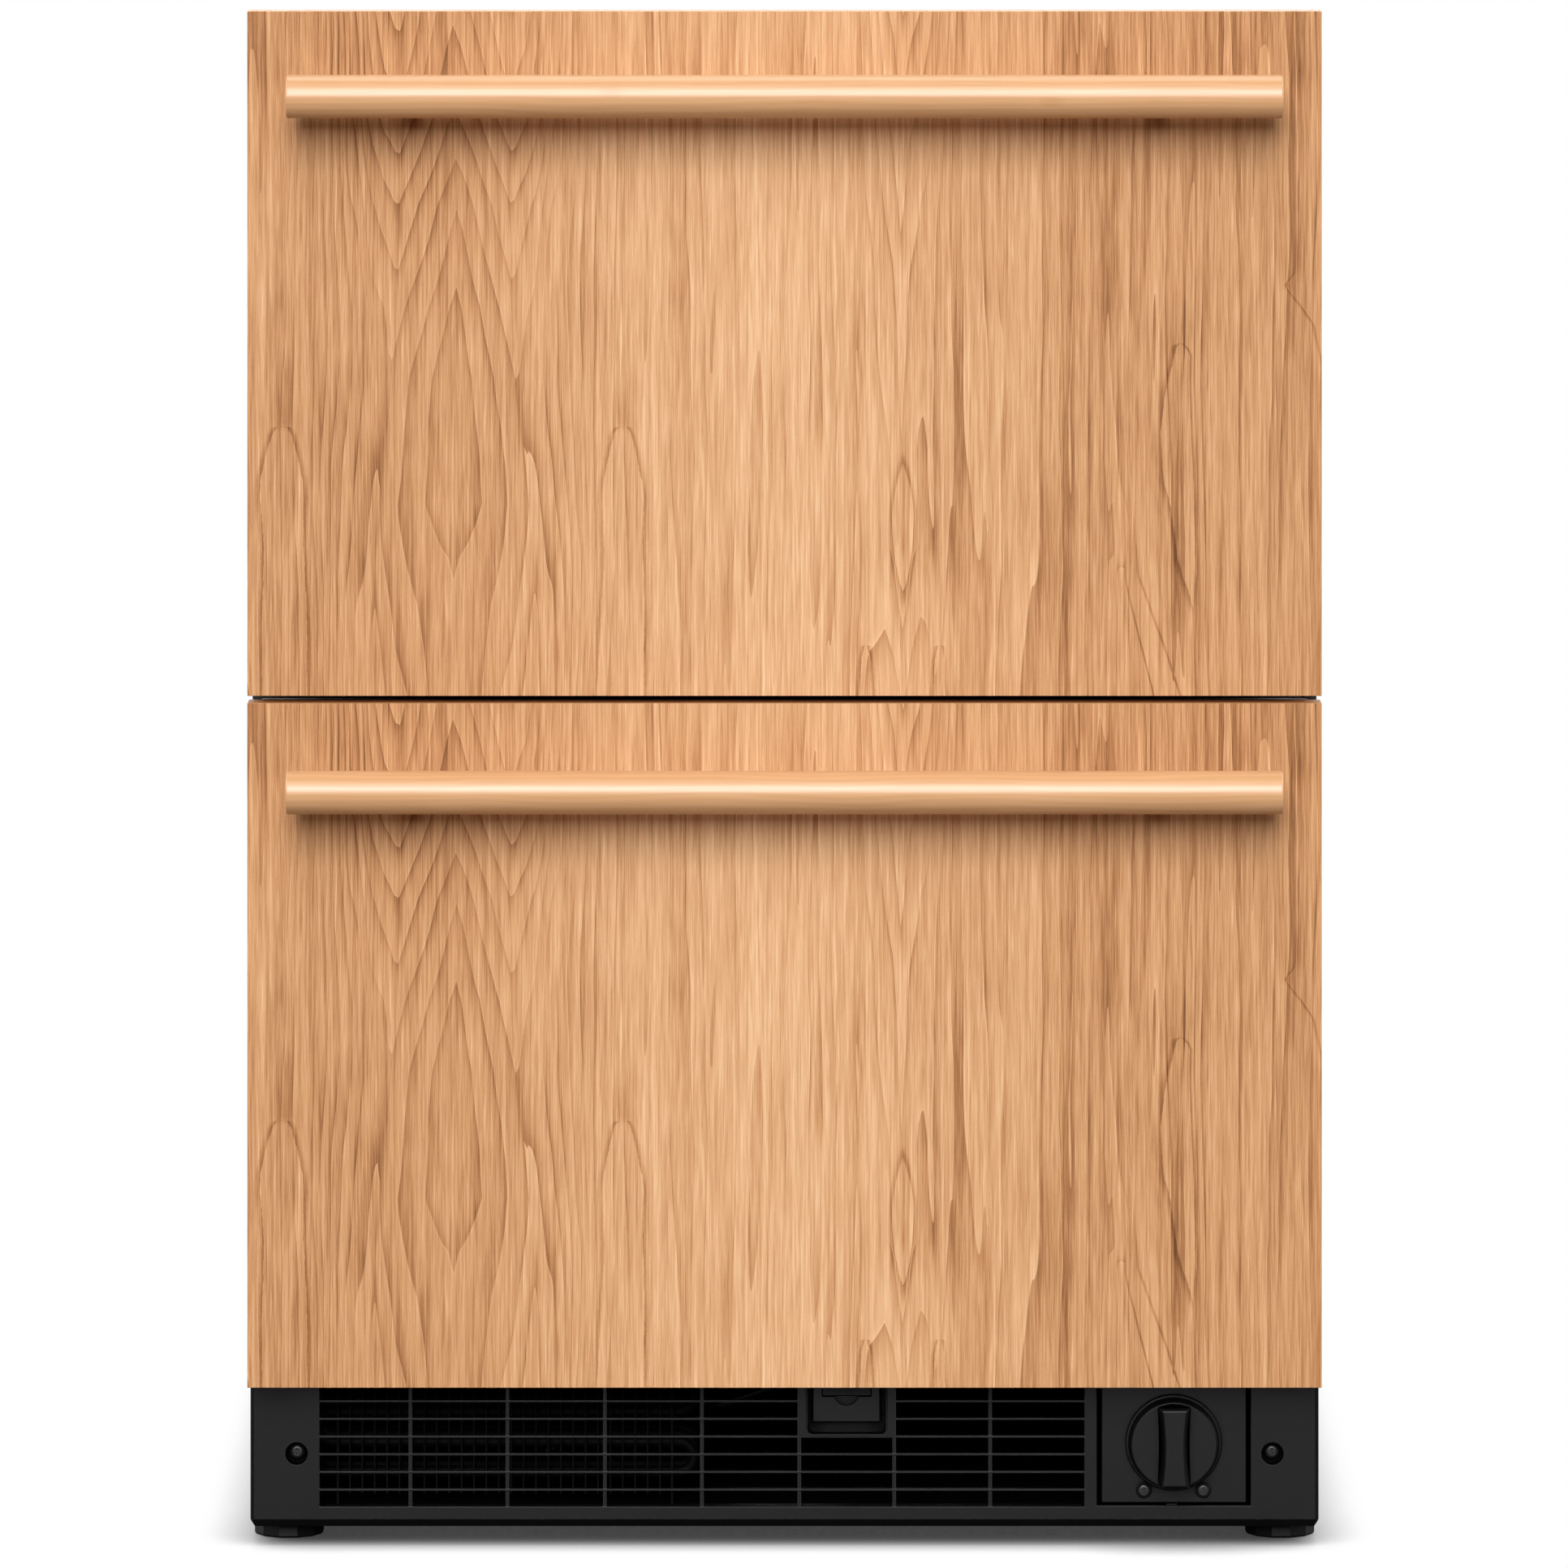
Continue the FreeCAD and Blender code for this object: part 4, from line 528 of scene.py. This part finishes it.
def copper():
    n = Net("copper")
    cloud = n.noise(n.P, 1.0 / 22.0, 4.0, 0.65)
    draw = n.noise(n.P, 1.0 / 0.5, 2.0, 0.5)
    v = cloud * 0.8 + draw * 0.2
    bare = n.ramp(v, [(0.28, lin((120, 66, 44))), (0.45, lin((184, 108, 74))), (0.62, lin((214, 136, 98))), (0.8, lin((226, 156, 120)))])
    front_painted_shade = n.remap(n.y, 170, 165) * n.remap(n.z, 140, 135)       # painted shade: the tubes are coloured matt black in front of the compressor, where they show through the grille
    n.set(col=n.mix(front_painted_shade, bare, lin((12, 12, 12))), metal=1.0 - front_painted_shade, spec=0.5 - front_painted_shade * 0.45,
          rough=n.remap(cloud, 0.3, 0.7, 0.40, 0.22, smooth=False).max(front_painted_shade * 0.8))
    n.bump(draw, 0.1, 0.00005)
    return n.m


def coil_alu():
    n = Net("coil_aluminium")
    st = n.stretched(0.8, 6.0, 0.8, 2.0) * 0.5 + 0.5
    dust = n.noise(n.P, 1.0 / 12.0, 3.0, 0.6)
    v = st * 0.5 + dust * 0.5
    n.set(col=n.ramp(v, [(0.25, lin((150, 153, 156))), (0.5, lin((190, 193, 196))), (0.8, lin((214, 216, 218)))]), metal=0.95,
          rough=n.remap(dust, 0.3, 0.7, 0.30, 0.5, smooth=False))
    n.bump(st, 0.15, 0.00005)
    return n.m


def clear(name, tint, rough=0.05):
    """Clear injection-moulded polystyrene."""
    n = Net(name)
    flow = n.noise(n.P, 1.0 / 50.0, 2.0, 0.5)
    fine = n.noise(n.P, 1.0 / 6.0, 2.0, 0.5)
    c = lin(tint)
    n.set(col=n.ramp(flow, [(0.3, scaled(c, 0.96)), (0.7, scaled(c, 1.02))]), rough=n.remap(flow, 0.3, 0.7, rough, rough + 0.06, smooth=False), trans=0.92, ior=1.12, spec=0.6)
    n.bump(flow * 1.0 + fine * 0.1, 0.15, 0.0002)
    lp = n.t.nodes.new("ShaderNodeLightPath")
    tr = n.t.nodes.new("ShaderNodeBsdfTransparent")
    tr.inputs[0].default_value = (0.90, 0.94, 0.95, 1.0)
    mx = n.t.nodes.new("ShaderNodeMixShader")
    n.t.links.new(lp.outputs["Is Shadow Ray"], mx.inputs[0])
    n.t.links.new(n.b.outputs[0], mx.inputs[1])
    n.t.links.new(tr.outputs[0], mx.inputs[2])
    n.t.links.new(mx.outputs[0], n.out.inputs[0])
    return n.m


def enamel(name, col):
    n = Net(name)
    c = lin(col)
    peel = n.noise(n.P, 1.0 / 2.2, 2.0, 0.5)
    dust = n.noise(n.P, 1.0 / 30.0, 4.0, 0.65)
    n.set(col=n.ramp(dust, [(0.3, c), (0.6, scaled(c, 1.4)), (0.85, lin((70, 68, 64)))]), rough=n.remap(dust, 0.35, 0.75, 0.18, 0.42, smooth=False), coat=0.4, coat_rough=0.12)
    n.bump(peel, 0.15, 0.0001)
    return n.m


MATS = {
    "oak_veneer": oak(),
    "handle_wood": rod_wood(),
    # black plastic: (84, 82, 83) is the painted highlight colour of its corners, and recess paints shade deep in its
    # holes and slots
    "black_plastic": moulded("black_plastic", (11, 10, 11), rough=0.42, grain=0.30, bump=0.20, var=0.10, spec=0.17, edge_highlight=(84, 82, 83), recess=0.012),
    "black_steel": powder("black_steel", (26, 26, 27)),
    "galvanised_steel": galvanised("galvanised_steel"),
    "insulation_foam": foam(),
    "liner_plastic": vacuum_formed("liner_plastic"),
    "black_screw": brushed("black_screw", (38, 38, 40), "y", 0.30, 0.7),
    "white_plastic": moulded("white_plastic", (232, 234, 236), rough=0.34, grain=0.6, bump=0.12, var=0.03),
    "valve_plastic": moulded("valve_plastic", (140, 143, 140), rough=0.5, grain=0.5, bump=0.3, var=0.08),
    "water_tube": moulded("water_tube", (222, 228, 230), rough=0.3, grain=2.0, bump=0.08, var=0.04, coat=0.2),
    "compressor_black": enamel("compressor_black", (18, 18, 19)),
    "rubber": rubber("rubber", (22, 22, 22)),
    "coil_black": moulded("coil_black", (6, 6, 7), rough=0.62, grain=0.8, bump=0.3, var=0.10, spec=0.10),
    "coil_aluminium": coil_alu(),
    "fan_plastic": moulded("fan_plastic", (38, 38, 40), rough=0.48, grain=0.4, bump=0.2, var=0.12),
    "fan_white": moulded("fan_white", (226, 226, 223), rough=0.42, grain=0.4, bump=0.15, var=0.03),
    "copper": copper(),
    "gloss_black": moulded("gloss_black", (14, 14, 15), rough=0.16, grain=1.4, bump=0.05, var=0.10, coat=0.5),
    "cord_rubber": rubber("cord_rubber", (20, 20, 20), rough=0.6, grain=0.5),
    "slide_steel": brushed("slide_steel", (184, 187, 190), "y", 0.26),
    "ice_aluminium": brushed("ice_aluminium", (150, 152, 154), "x", 0.42, 0.9),
    "gasket_rubber": rubber("gasket_rubber", (74, 74, 76), rough=0.62, grain=0.4),
    "bin_plastic": clear("bin_plastic", (232, 240, 243)),
    "divider_plastic": clear("divider_plastic", (226, 238, 243), 0.08),
    "foot_plastic": moulded("foot_plastic", (24, 24, 25), rough=0.40, grain=0.5, bump=0.2, var=0.12),
}
SLOT_OF = {s["node"]: s["material_slot"] for s in frame["record"]["subparts"]}
# painted shade: the base pan is coloured near-black and matt, without specular, so the machine space behind the
# grille stays dark
CHASSIS = moulded("chassis_shade_black", (9, 9, 10), rough=0.9, grain=0.8, bump=0.3, var=0.12, spec=0.0)
ROCKER = moulded("rocker_black", (12, 12, 13), rough=0.5, grain=0.5, bump=0.15, var=0.10, spec=0.12)
for name, obj in NODES.items():
    mat = {"base_chassis": CHASSIS, "power_rocker": ROCKER}.get(name, MATS[SLOT_OF[name]])
    if len(obj.data.materials) == 0:
        obj.data.materials.append(mat)
    for i in range(len(obj.data.materials)):
        obj.data.materials[i] = mat


# ================================================================ small visual pieces
def piece(name, bm, body, slot, mat=None, smooth=True):
    """Turn a bmesh (metres) into a piece that rides on a body."""
    me = bpy.data.meshes.new(name)
    bmesh.ops.recalc_face_normals(bm, faces=bm.faces)
    bm.to_mesh(me)
    bm.free()
    if smooth:
        for f in me.polygons:
            f.use_smooth = True
    o = bpy.data.objects.new(name, me)
    bpy.context.scene.collection.objects.link(o)
    me.materials.append(mat or MATS[slot])
    bpy.context.view_layer.update()
    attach(o, body)
    return o


def screw_into(bm, at, out, r=3.6, h=2.0, turn=0.0):
    """Pan head with a cross recess: at is the seat's centre in mm, out the direction the head stands proud."""
    out = Vector(out).normalized()
    side = out.orthogonal().normalized()
    up = out.cross(side)
    rings, seg = 12, 48
    c, s_ = math.cos(turn), math.sin(turn)

    def height(rr, a):
        base = h * (1.0 - (rr / r) ** 3.2) ** 0.55 if rr < r else 0.0
        px, py = rr * math.cos(a), rr * math.sin(a)
        u, w = px * c + py * s_, -px * s_ + py * c
        arm = min(abs(u), abs(w))
        reach = max(abs(u), abs(w))
        if arm < r * 0.14 and reach < r * 0.62:
            base -= h * 0.62 * (1.0 - 0.75 * reach / (r * 0.62))
        return base

    def vert(rr, a):
        q = Vector(at) + side * (rr * math.cos(a)) + up * (rr * math.sin(a)) + out * height(rr, a)
        return bm.verts.new(q * MM)

    centre = vert(0.0, 0.0)
    prev = None
    for i in range(1, rings + 1):
        rr = r * (i / rings) ** 0.85
        ring = [vert(rr, 2 * math.pi * k / seg) for k in range(seg)]
        for k in range(seg):
            k2 = (k + 1) % seg
            if prev is None:
                bm.faces.new((centre, ring[k], ring[k2]))
            else:
                bm.faces.new((prev[k], ring[k], ring[k2], prev[k2]))
        prev = ring
    low = [bm.verts.new(v_.co - out * (0.25 * MM)) for v_ in prev]
    for k in range(seg):
        k2 = (k + 1) % seg
        bm.faces.new((prev[k], low[k], low[k2], prev[k2]))
    bm.faces.new(list(reversed(low)))


def seat_y(node, x, z):
    """The y (mm) of a node's rear surface at x, z."""
    me = NODES[node].data
    tree = BVHTree.FromPolygons([tuple(v_.co) for v_ in me.vertices], [tuple(f.vertices) for f in me.polygons])
    hit = tree.ray_cast(Vector((x * MM, 1.0, z * MM)), Vector((0.0, -1.0, 0.0)))
    return None if hit[0] is None else hit[0].y * 1000.0


bm = bmesh.new()
for i, (x, z) in enumerate([(-272, 292), (0, 276), (272, 292), (-272, 540), (272, 540), (-272, 800), (0, 816), (272, 800)]):
    y = seat_y("back_panel", x, z)
    if y is not None and y > 325.0:
        screw_into(bm, (x, y, z), (0, 1, 0), 3.8, 2.0, 0.4 + i * 0.77)
piece("back_panel_screws", bm, "cabinet", "black_screw")

bm = bmesh.new()
for i, (x, z) in enumerate([(-286, 52), (286, 52), (-286, 238), (286, 238), (-100, 236), (120, 36), (-60, 36)]):
    y = seat_y("rear_cover", x, z)
    if y is not None and y > 305.0:
        screw_into(bm, (x, y, z), (0, 1, 0), 3.6, 1.9, 0.2 + i * 1.13)
piece("rear_cover_screws", bm, "cabinet", "black_screw")


def clip_into(bm, cx, cy, cz, along, r=3.75, t=1.1, width=8.0):
    """P-clip over a cord at (cx, cy, cz) that runs along x or z, with a flat tab beside it."""
    def pt(u, w, l):                                   # u across, w away from the sheet, l along the cord
        return Vector((cx + l, cy + w, cz + u) if along == "x" else (cx + u, cy + w, cz + l)) * MM
    prof = []
    for i in range(17):
        a = math.pi * i / 16.0
        prof.append((math.cos(a), math.sin(a)))
    inner = [(r * c_, r * s_) for c_, s_ in prof] + [(-r, -3.4), (-13.5, -3.4)]
    outer = [((r + t) * c_, (r + t) * s_) for c_, s_ in prof] + [(-r - t, -3.4 + t), (-13.5, -3.4 + t)]
    inner = [(r, -3.4)] + inner
    outer = [(r + t, -3.4)] + outer
    rows = []
    for l in (-width / 2, -width / 2 + 0.5, width / 2 - 0.5, width / 2):
        shrink = 0.0 if abs(l) < width / 2 else 0.22
        loop = []
        for (ui, wi), (uo, wo) in zip(inner, outer):
            loop.append((ui + (uo - ui) * shrink, wi + (wo - wi) * shrink, uo + (ui - uo) * shrink, wo + (wi - wo) * shrink))
        rows.append(([bm.verts.new(pt(a, b, l)) for a, b, _, _ in loop], [bm.verts.new(pt(c_, d_, l)) for _, _, c_, d_ in loop]))
    for (i0, o0), (i1, o1) in zip(rows, rows[1:]):
        for k in range(len(i0) - 1):
            bm.faces.new((i0[k], i0[k + 1], i1[k + 1], i1[k]))
            bm.faces.new((o0[k], o1[k], o1[k + 1], o0[k + 1]))
        for k in (0, len(i0) - 1):
            bm.faces.new((i0[k], i1[k], o1[k], o0[k]))
    for i0, o0 in (rows[0], rows[-1]):
        for k in range(len(i0) - 1):
            bm.faces.new((i0[k], o0[k], o0[k + 1], i0[k + 1]))
    screw_into(bm, tuple(pt(-10.0, -3.4 + t, 0.0) * 1000.0), (0, 1, 0), 2.6, 1.4, 0.9)


bm = bmesh.new()
clip_into(bm, -250.0, 316.8, 120.0, "z")
clip_into(bm, -140.0, 316.8, 248.0, "x")
clip_into(bm, 30.0, 316.8, 248.0, "x")
piece("cord_clips", bm, "cabinet", "black_plastic", MATS["fan_plastic"])


def rounded_bar(bm, lo, hi, r, rib=None):
    """Long bar with rounded corners and, on its underside, fine cross ribs."""
    (x0, y0, z0), (x1, y1, z1) = lo, hi
    n_x = 160
    prof = []
    for cy, cz, a0 in ((y1 - r, z1 - r, 0), (y0 + r, z1 - r, 90), (y0 + r, z0 + r, 180), (y1 - r, z0 + r, 270)):
        for k in range(5):
            a = math.radians(a0 + 22.5 * k)
            prof.append((cy + r * math.cos(a), cz + r * math.sin(a)))
    prev = None
    for i in range(n_x + 1):
        t = i / n_x
        x = x0 + (x1 - x0) * t
        e = min(x - x0, x1 - x)
        k = 1.0 if e > r else math.sqrt(max(0.0, 1.0 - (1.0 - e / r) ** 2)) * 0.35 + 0.65
        cy, cz = (y0 + y1) / 2, (z0 + z1) / 2
        ring = []
        for y, z in prof:
            dz = 0.18 * math.cos(2 * math.pi * x / 3.0) if (rib and z < cz and r < e) else 0.0
            ring.append(bm.verts.new(Vector((x, cy + (y - cy) * k, cz + (z - cz) * k + dz)) * MM))
        if prev:
            for a in range(len(ring)):
                b = (a + 1) % len(ring)
                bm.faces.new((prev[a], prev[b], ring[b], ring[a]))
        else:
            bm.faces.new(ring)
        prev = ring
    bm.faces.new(list(reversed(prev)))


def lens_material():
    n = Net("light_lens")
    f = n.noise(n.P, 1.0 / 7.0, 2.0, 0.5)
    n.set(col=n.ramp(f, [(0.3, lin((226, 232, 234))), (0.7, lin((240, 243, 243)))]), rough=n.remap(f, 0.3, 0.7, 0.42, 0.52, smooth=False), trans=0.35, ior=1.3,
          emit=lin((255, 250, 240)), emit_s=0.25)
    n.bump(f, 0.1, 0.0001)
    return n.m


bm = bmesh.new()
rounded_bar(bm, (-120.0, -196.0, 776.0), (120.0, -178.0, 780.4), 1.6, rib=True)
piece("light_lens", bm, "cabinet", "liner_plastic", lens_material())


def ring_into(bm, cx, cz, y, r, t, arc=(0.0, 360.0)):
    """Thin raised line ring, or part of one, on a face at y."""
    n_s = 40
    closed = arc[1] - arc[0] >= 360.0
    rows = []
    for i in range(n_s if closed else n_s + 1):
        a = math.radians(arc[0] + (arc[1] - arc[0]) * i / n_s)
        q = []
        for k in range(6):
            b = math.pi * 2 * k / 6
            rr = r + t * math.cos(b)
            q.append(bm.verts.new(Vector((cx + rr * math.cos(a), y - 0.12 * max(0.0, math.sin(b)) + 0.04, cz + rr * math.sin(a))) * MM))
        rows.append(q)
    m_ = len(rows)
    for i in range(m_ if closed else m_ - 1):
        a, b = rows[i], rows[(i + 1) % m_]
        for k in range(6):
            k2 = (k + 1) % 6
            bm.faces.new((a[k], a[k2], b[k2], b[k]))
    if not closed:
        bm.faces.new(rows[0])
        bm.faces.new(list(reversed(rows[-1])))


def glow_material():
    n = Net("touch_marks")
    f = n.noise(n.P, 1.0 / 2.0, 2.0, 0.5)
    n.set(col=n.ramp(f, [(0.3, lin((196, 214, 226))), (0.7, lin((232, 240, 246)))]), rough=0.4, emit=lin((214, 232, 245)), emit_s=0.35)
    return n.m


bm = bmesh.new()
for i, x in enumerate((-96.0, -64.0, -32.0, 32.0, 64.0, 96.0)):
    ring_into(bm, x, 787.5, -206.05, 3.1, 0.28)
    if i % 2:
        ring_into(bm, x, 787.5, -206.05, 1.5, 0.24, (30.0, 330.0))
    else:
        ring_into(bm, x, 787.5, -206.05, 1.2, 0.24)
for i in range(5):
    ring_into(bm, -12.0 + 6.0 * i, 787.5, -206.05, 0.7, 0.30)
piece("touch_marks", bm, "cabinet", "gloss_black", glow_material())


# ================================================================ stage
def stage_plane(name, size, loc, mat):
    me = bpy.data.meshes.new(name)
    s = size / 2.0
    me.from_pydata([(-s, -s, 0), (s, -s, 0), (s, s, 0), (-s, s, 0)], [], [(0, 1, 2, 3)])
    o = bpy.data.objects.new(name, me)
    bpy.context.scene.collection.objects.link(o)
    o.location = loc
    me.materials.append(mat)
    return o


def floor_material():
    """Pale studio floor: blown out to white for the lens, with a soft contact shadow under the unit."""
    m = bpy.data.materials.new("studio_floor")
    m.use_nodes = True
    t = m.node_tree
    t.nodes.clear()
    out = t.nodes.new("ShaderNodeOutputMaterial")
    mixs = t.nodes.new("ShaderNodeMixShader")
    lp = t.nodes.new("ShaderNodeLightPath")
    diff = t.nodes.new("ShaderNodeBsdfDiffuse")
    diff.inputs[0].default_value = (0.06, 0.055, 0.05, 1)
    em = t.nodes.new("ShaderNodeEmission")
    ao = t.nodes.new("ShaderNodeAmbientOcclusion")
    ao.samples = 16
    ao.inputs["Distance"].default_value = 0.055
    ramp = t.nodes.new("ShaderNodeValToRGB")
    e = ramp.color_ramp.elements
    e[0].position, e[0].color = 0.08, (0.05, 0.048, 0.049, 1)
    e[1].position, e[1].color = 0.80, (1.0, 1.0, 1.0, 1)
    k = ramp.color_ramp.elements.new(0.45)
    k.color = (0.42, 0.42, 0.42, 1)
    t.links.new(ao.outputs["AO"], ramp.inputs[0])
    t.links.new(ramp.outputs[0], em.inputs[0])
    # painted shade: the floor is dark right under the base pan, where its air slots would show the floor
    geo = t.nodes.new("ShaderNodeNewGeometry")
    sep = t.nodes.new("ShaderNodeSeparateXYZ")
    t.links.new(geo.outputs["Position"], sep.inputs[0])
    far = t.nodes.new("ShaderNodeMath")
    far.operation = "MAXIMUM"
    for i, (mid, half) in enumerate(((0.0, 0.27), (0.08, 0.23))):
        sub = t.nodes.new("ShaderNodeMath")
        sub.operation = "SUBTRACT"
        sub.inputs[1].default_value = mid
        ab = t.nodes.new("ShaderNodeMath")
        ab.operation = "ABSOLUTE"
        mr = t.nodes.new("ShaderNodeMapRange")
        mr.inputs["From Min"].default_value = half - 0.03
        mr.inputs["From Max"].default_value = half
        t.links.new(sep.outputs[i], sub.inputs[0])
        t.links.new(sub.outputs[0], ab.inputs[0])
        t.links.new(ab.outputs[0], mr.inputs["Value"])
        t.links.new(mr.outputs[0], far.inputs[i])
    t.links.new(far.outputs[0], em.inputs[1])
    t.links.new(lp.outputs["Is Camera Ray"], mixs.inputs[0])
    t.links.new(diff.outputs[0], mixs.inputs[1])
    t.links.new(em.outputs[0], mixs.inputs[2])
    t.links.new(mixs.outputs[0], out.inputs[0])
    return m


stage_plane("studio_floor", 60.0, (0, 0, 0), floor_material())

scene = bpy.context.scene
world = bpy.data.worlds.new("studio")
scene.world = world
world.use_nodes = True
wt = world.node_tree
wt.nodes.clear()
wo = wt.nodes.new("ShaderNodeOutputWorld")
wb = wt.nodes.new("ShaderNodeBackground")
wl = wt.nodes.new("ShaderNodeLightPath")
wm = wt.nodes.new("ShaderNodeMixShader")
wc = wt.nodes.new("ShaderNodeBackground")
wb.inputs[0].default_value = (1.0, 0.55, 0.28, 1)
wb.inputs[1].default_value = 0.012
wc.inputs[0].default_value = (1, 1, 1, 1)
wc.inputs[1].default_value = 1.0
wtc = wt.nodes.new("ShaderNodeTexCoord")
wsep = wt.nodes.new("ShaderNodeSeparateXYZ")
wr = wt.nodes.new("ShaderNodeMapRange")
wr.interpolation_type = "SMOOTHSTEP"
wr.inputs["From Min"].default_value, wr.inputs["From Max"].default_value = 0.02, 0.45
wr.inputs["To Min"].default_value, wr.inputs["To Max"].default_value = 0.0, 0.42
wt.links.new(wtc.outputs["Generated"], wsep.inputs[0])
wt.links.new(wsep.outputs[1], wr.inputs["Value"])
wback = wt.nodes.new("ShaderNodeBackground")
wback.inputs[0].default_value = (0.98, 0.99, 1.0, 1.0)
wt.links.new(wr.outputs[0], wback.inputs[1])
wadd = wt.nodes.new("ShaderNodeAddShader")
wt.links.new(wl.outputs["Is Camera Ray"], wm.inputs[0])
wt.links.new(wb.outputs[0], wadd.inputs[0])
wt.links.new(wback.outputs[0], wadd.inputs[1])
wt.links.new(wadd.outputs[0], wm.inputs[1])
wt.links.new(wc.outputs[0], wm.inputs[2])
wt.links.new(wm.outputs[0], wo.inputs[0])


def area(name, loc, target, sx, sz, power, col=(1, 1, 1)):
    d = bpy.data.lights.new(name, "AREA")
    d.shape = "RECTANGLE"
    d.size, d.size_y = sx, sz
    d.energy = power
    d.color = col
    o = bpy.data.objects.new(name, d)
    scene.collection.objects.link(o)
    o.location = loc
    o.rotation_euler = (Vector(target) - Vector(loc)).to_track_quat("-Z", "Y").to_euler()
    return o


# tall soft box far in front of the unit, from just above the floor up to a high angle
area("key", (-2.2, -40.28, 21.1), (-2.2, 0.0, 21.1), 18.4, 26.5, 22800.0)
area("key_high", (-1.1, -20.28, 26.5), (-1.1, 0.0, 26.5), 9.2, 17.9, 2750.0)
# low reflector in front of the recessed toe space; it lights the toe pieces only
toe_fill = area("toe_fill", (0.0, -5.0, 0.16), (0.0, -0.24, 0.07), 3.4, 0.9, 90.0)
toe_group = bpy.data.collections.new("toe_pieces")
for nm in ("toe_grille", "filter_plate", "filter_cap", "grille_screws", "switch_bezel", "power_rocker"):
    toe_group.objects.link(NODES[nm])
toe_fill.light_linking.receiver_collection = toe_group
# side and rear soft boxes, for the cabinet's other faces
area("side_left", (-5.0, 0.9, 2.0), (0, 0.1, 0.45), 3.2, 3.2, 190.0)
area("side_right", (5.0, 0.9, 2.0), (0, 0.1, 0.45), 3.2, 3.2, 190.0)
area("rear", (0.6, 5.5, 2.4), (0, 0.3, 0.45), 4.0, 3.2, 330.0)
area("top", (0.0, 1.4, 4.5), (0, 0.6, 0.0), 3.0, 2.0, 40.0)

# ================================================================ camera
CAM_Z, SHIFT = 1.194, -0.87013
cam_data = bpy.data.cameras.new("camera")
cam = bpy.data.objects.new("camera", cam_data)
scene.collection.objects.link(cam)
cam_data.sensor_width = 36.0
cam_data.lens = 267.27
cam.location = (-0.0003, -6.780, CAM_Z)
cam.rotation_euler = (math.pi / 2.0, 0, 0)
cam_data.clip_start, cam_data.clip_end = 0.1, 200.0
cam_data.shift_y = SHIFT
# the lens is shifted down only at this height, so that any other view of the unit is centred
drv = cam_data.driver_add("shift_y").driver
var = drv.variables.new()
var.name = "z"
var.type = "TRANSFORMS"
var.targets[0].id = cam
var.targets[0].transform_type = "LOC_Z"
var.targets[0].transform_space = "WORLD_SPACE"
drv.type = "SCRIPTED"
drv.expression = "%.5f * (abs(z - %.4f) < 0.0005)" % (SHIFT, CAM_Z)
scene.camera = cam

scene.view_settings.view_transform = "Standard"
scene.view_settings.look = "None"
scene.view_settings.exposure = 0.0
scene.view_settings.gamma = 1.0

bpy.context.view_layer.update()
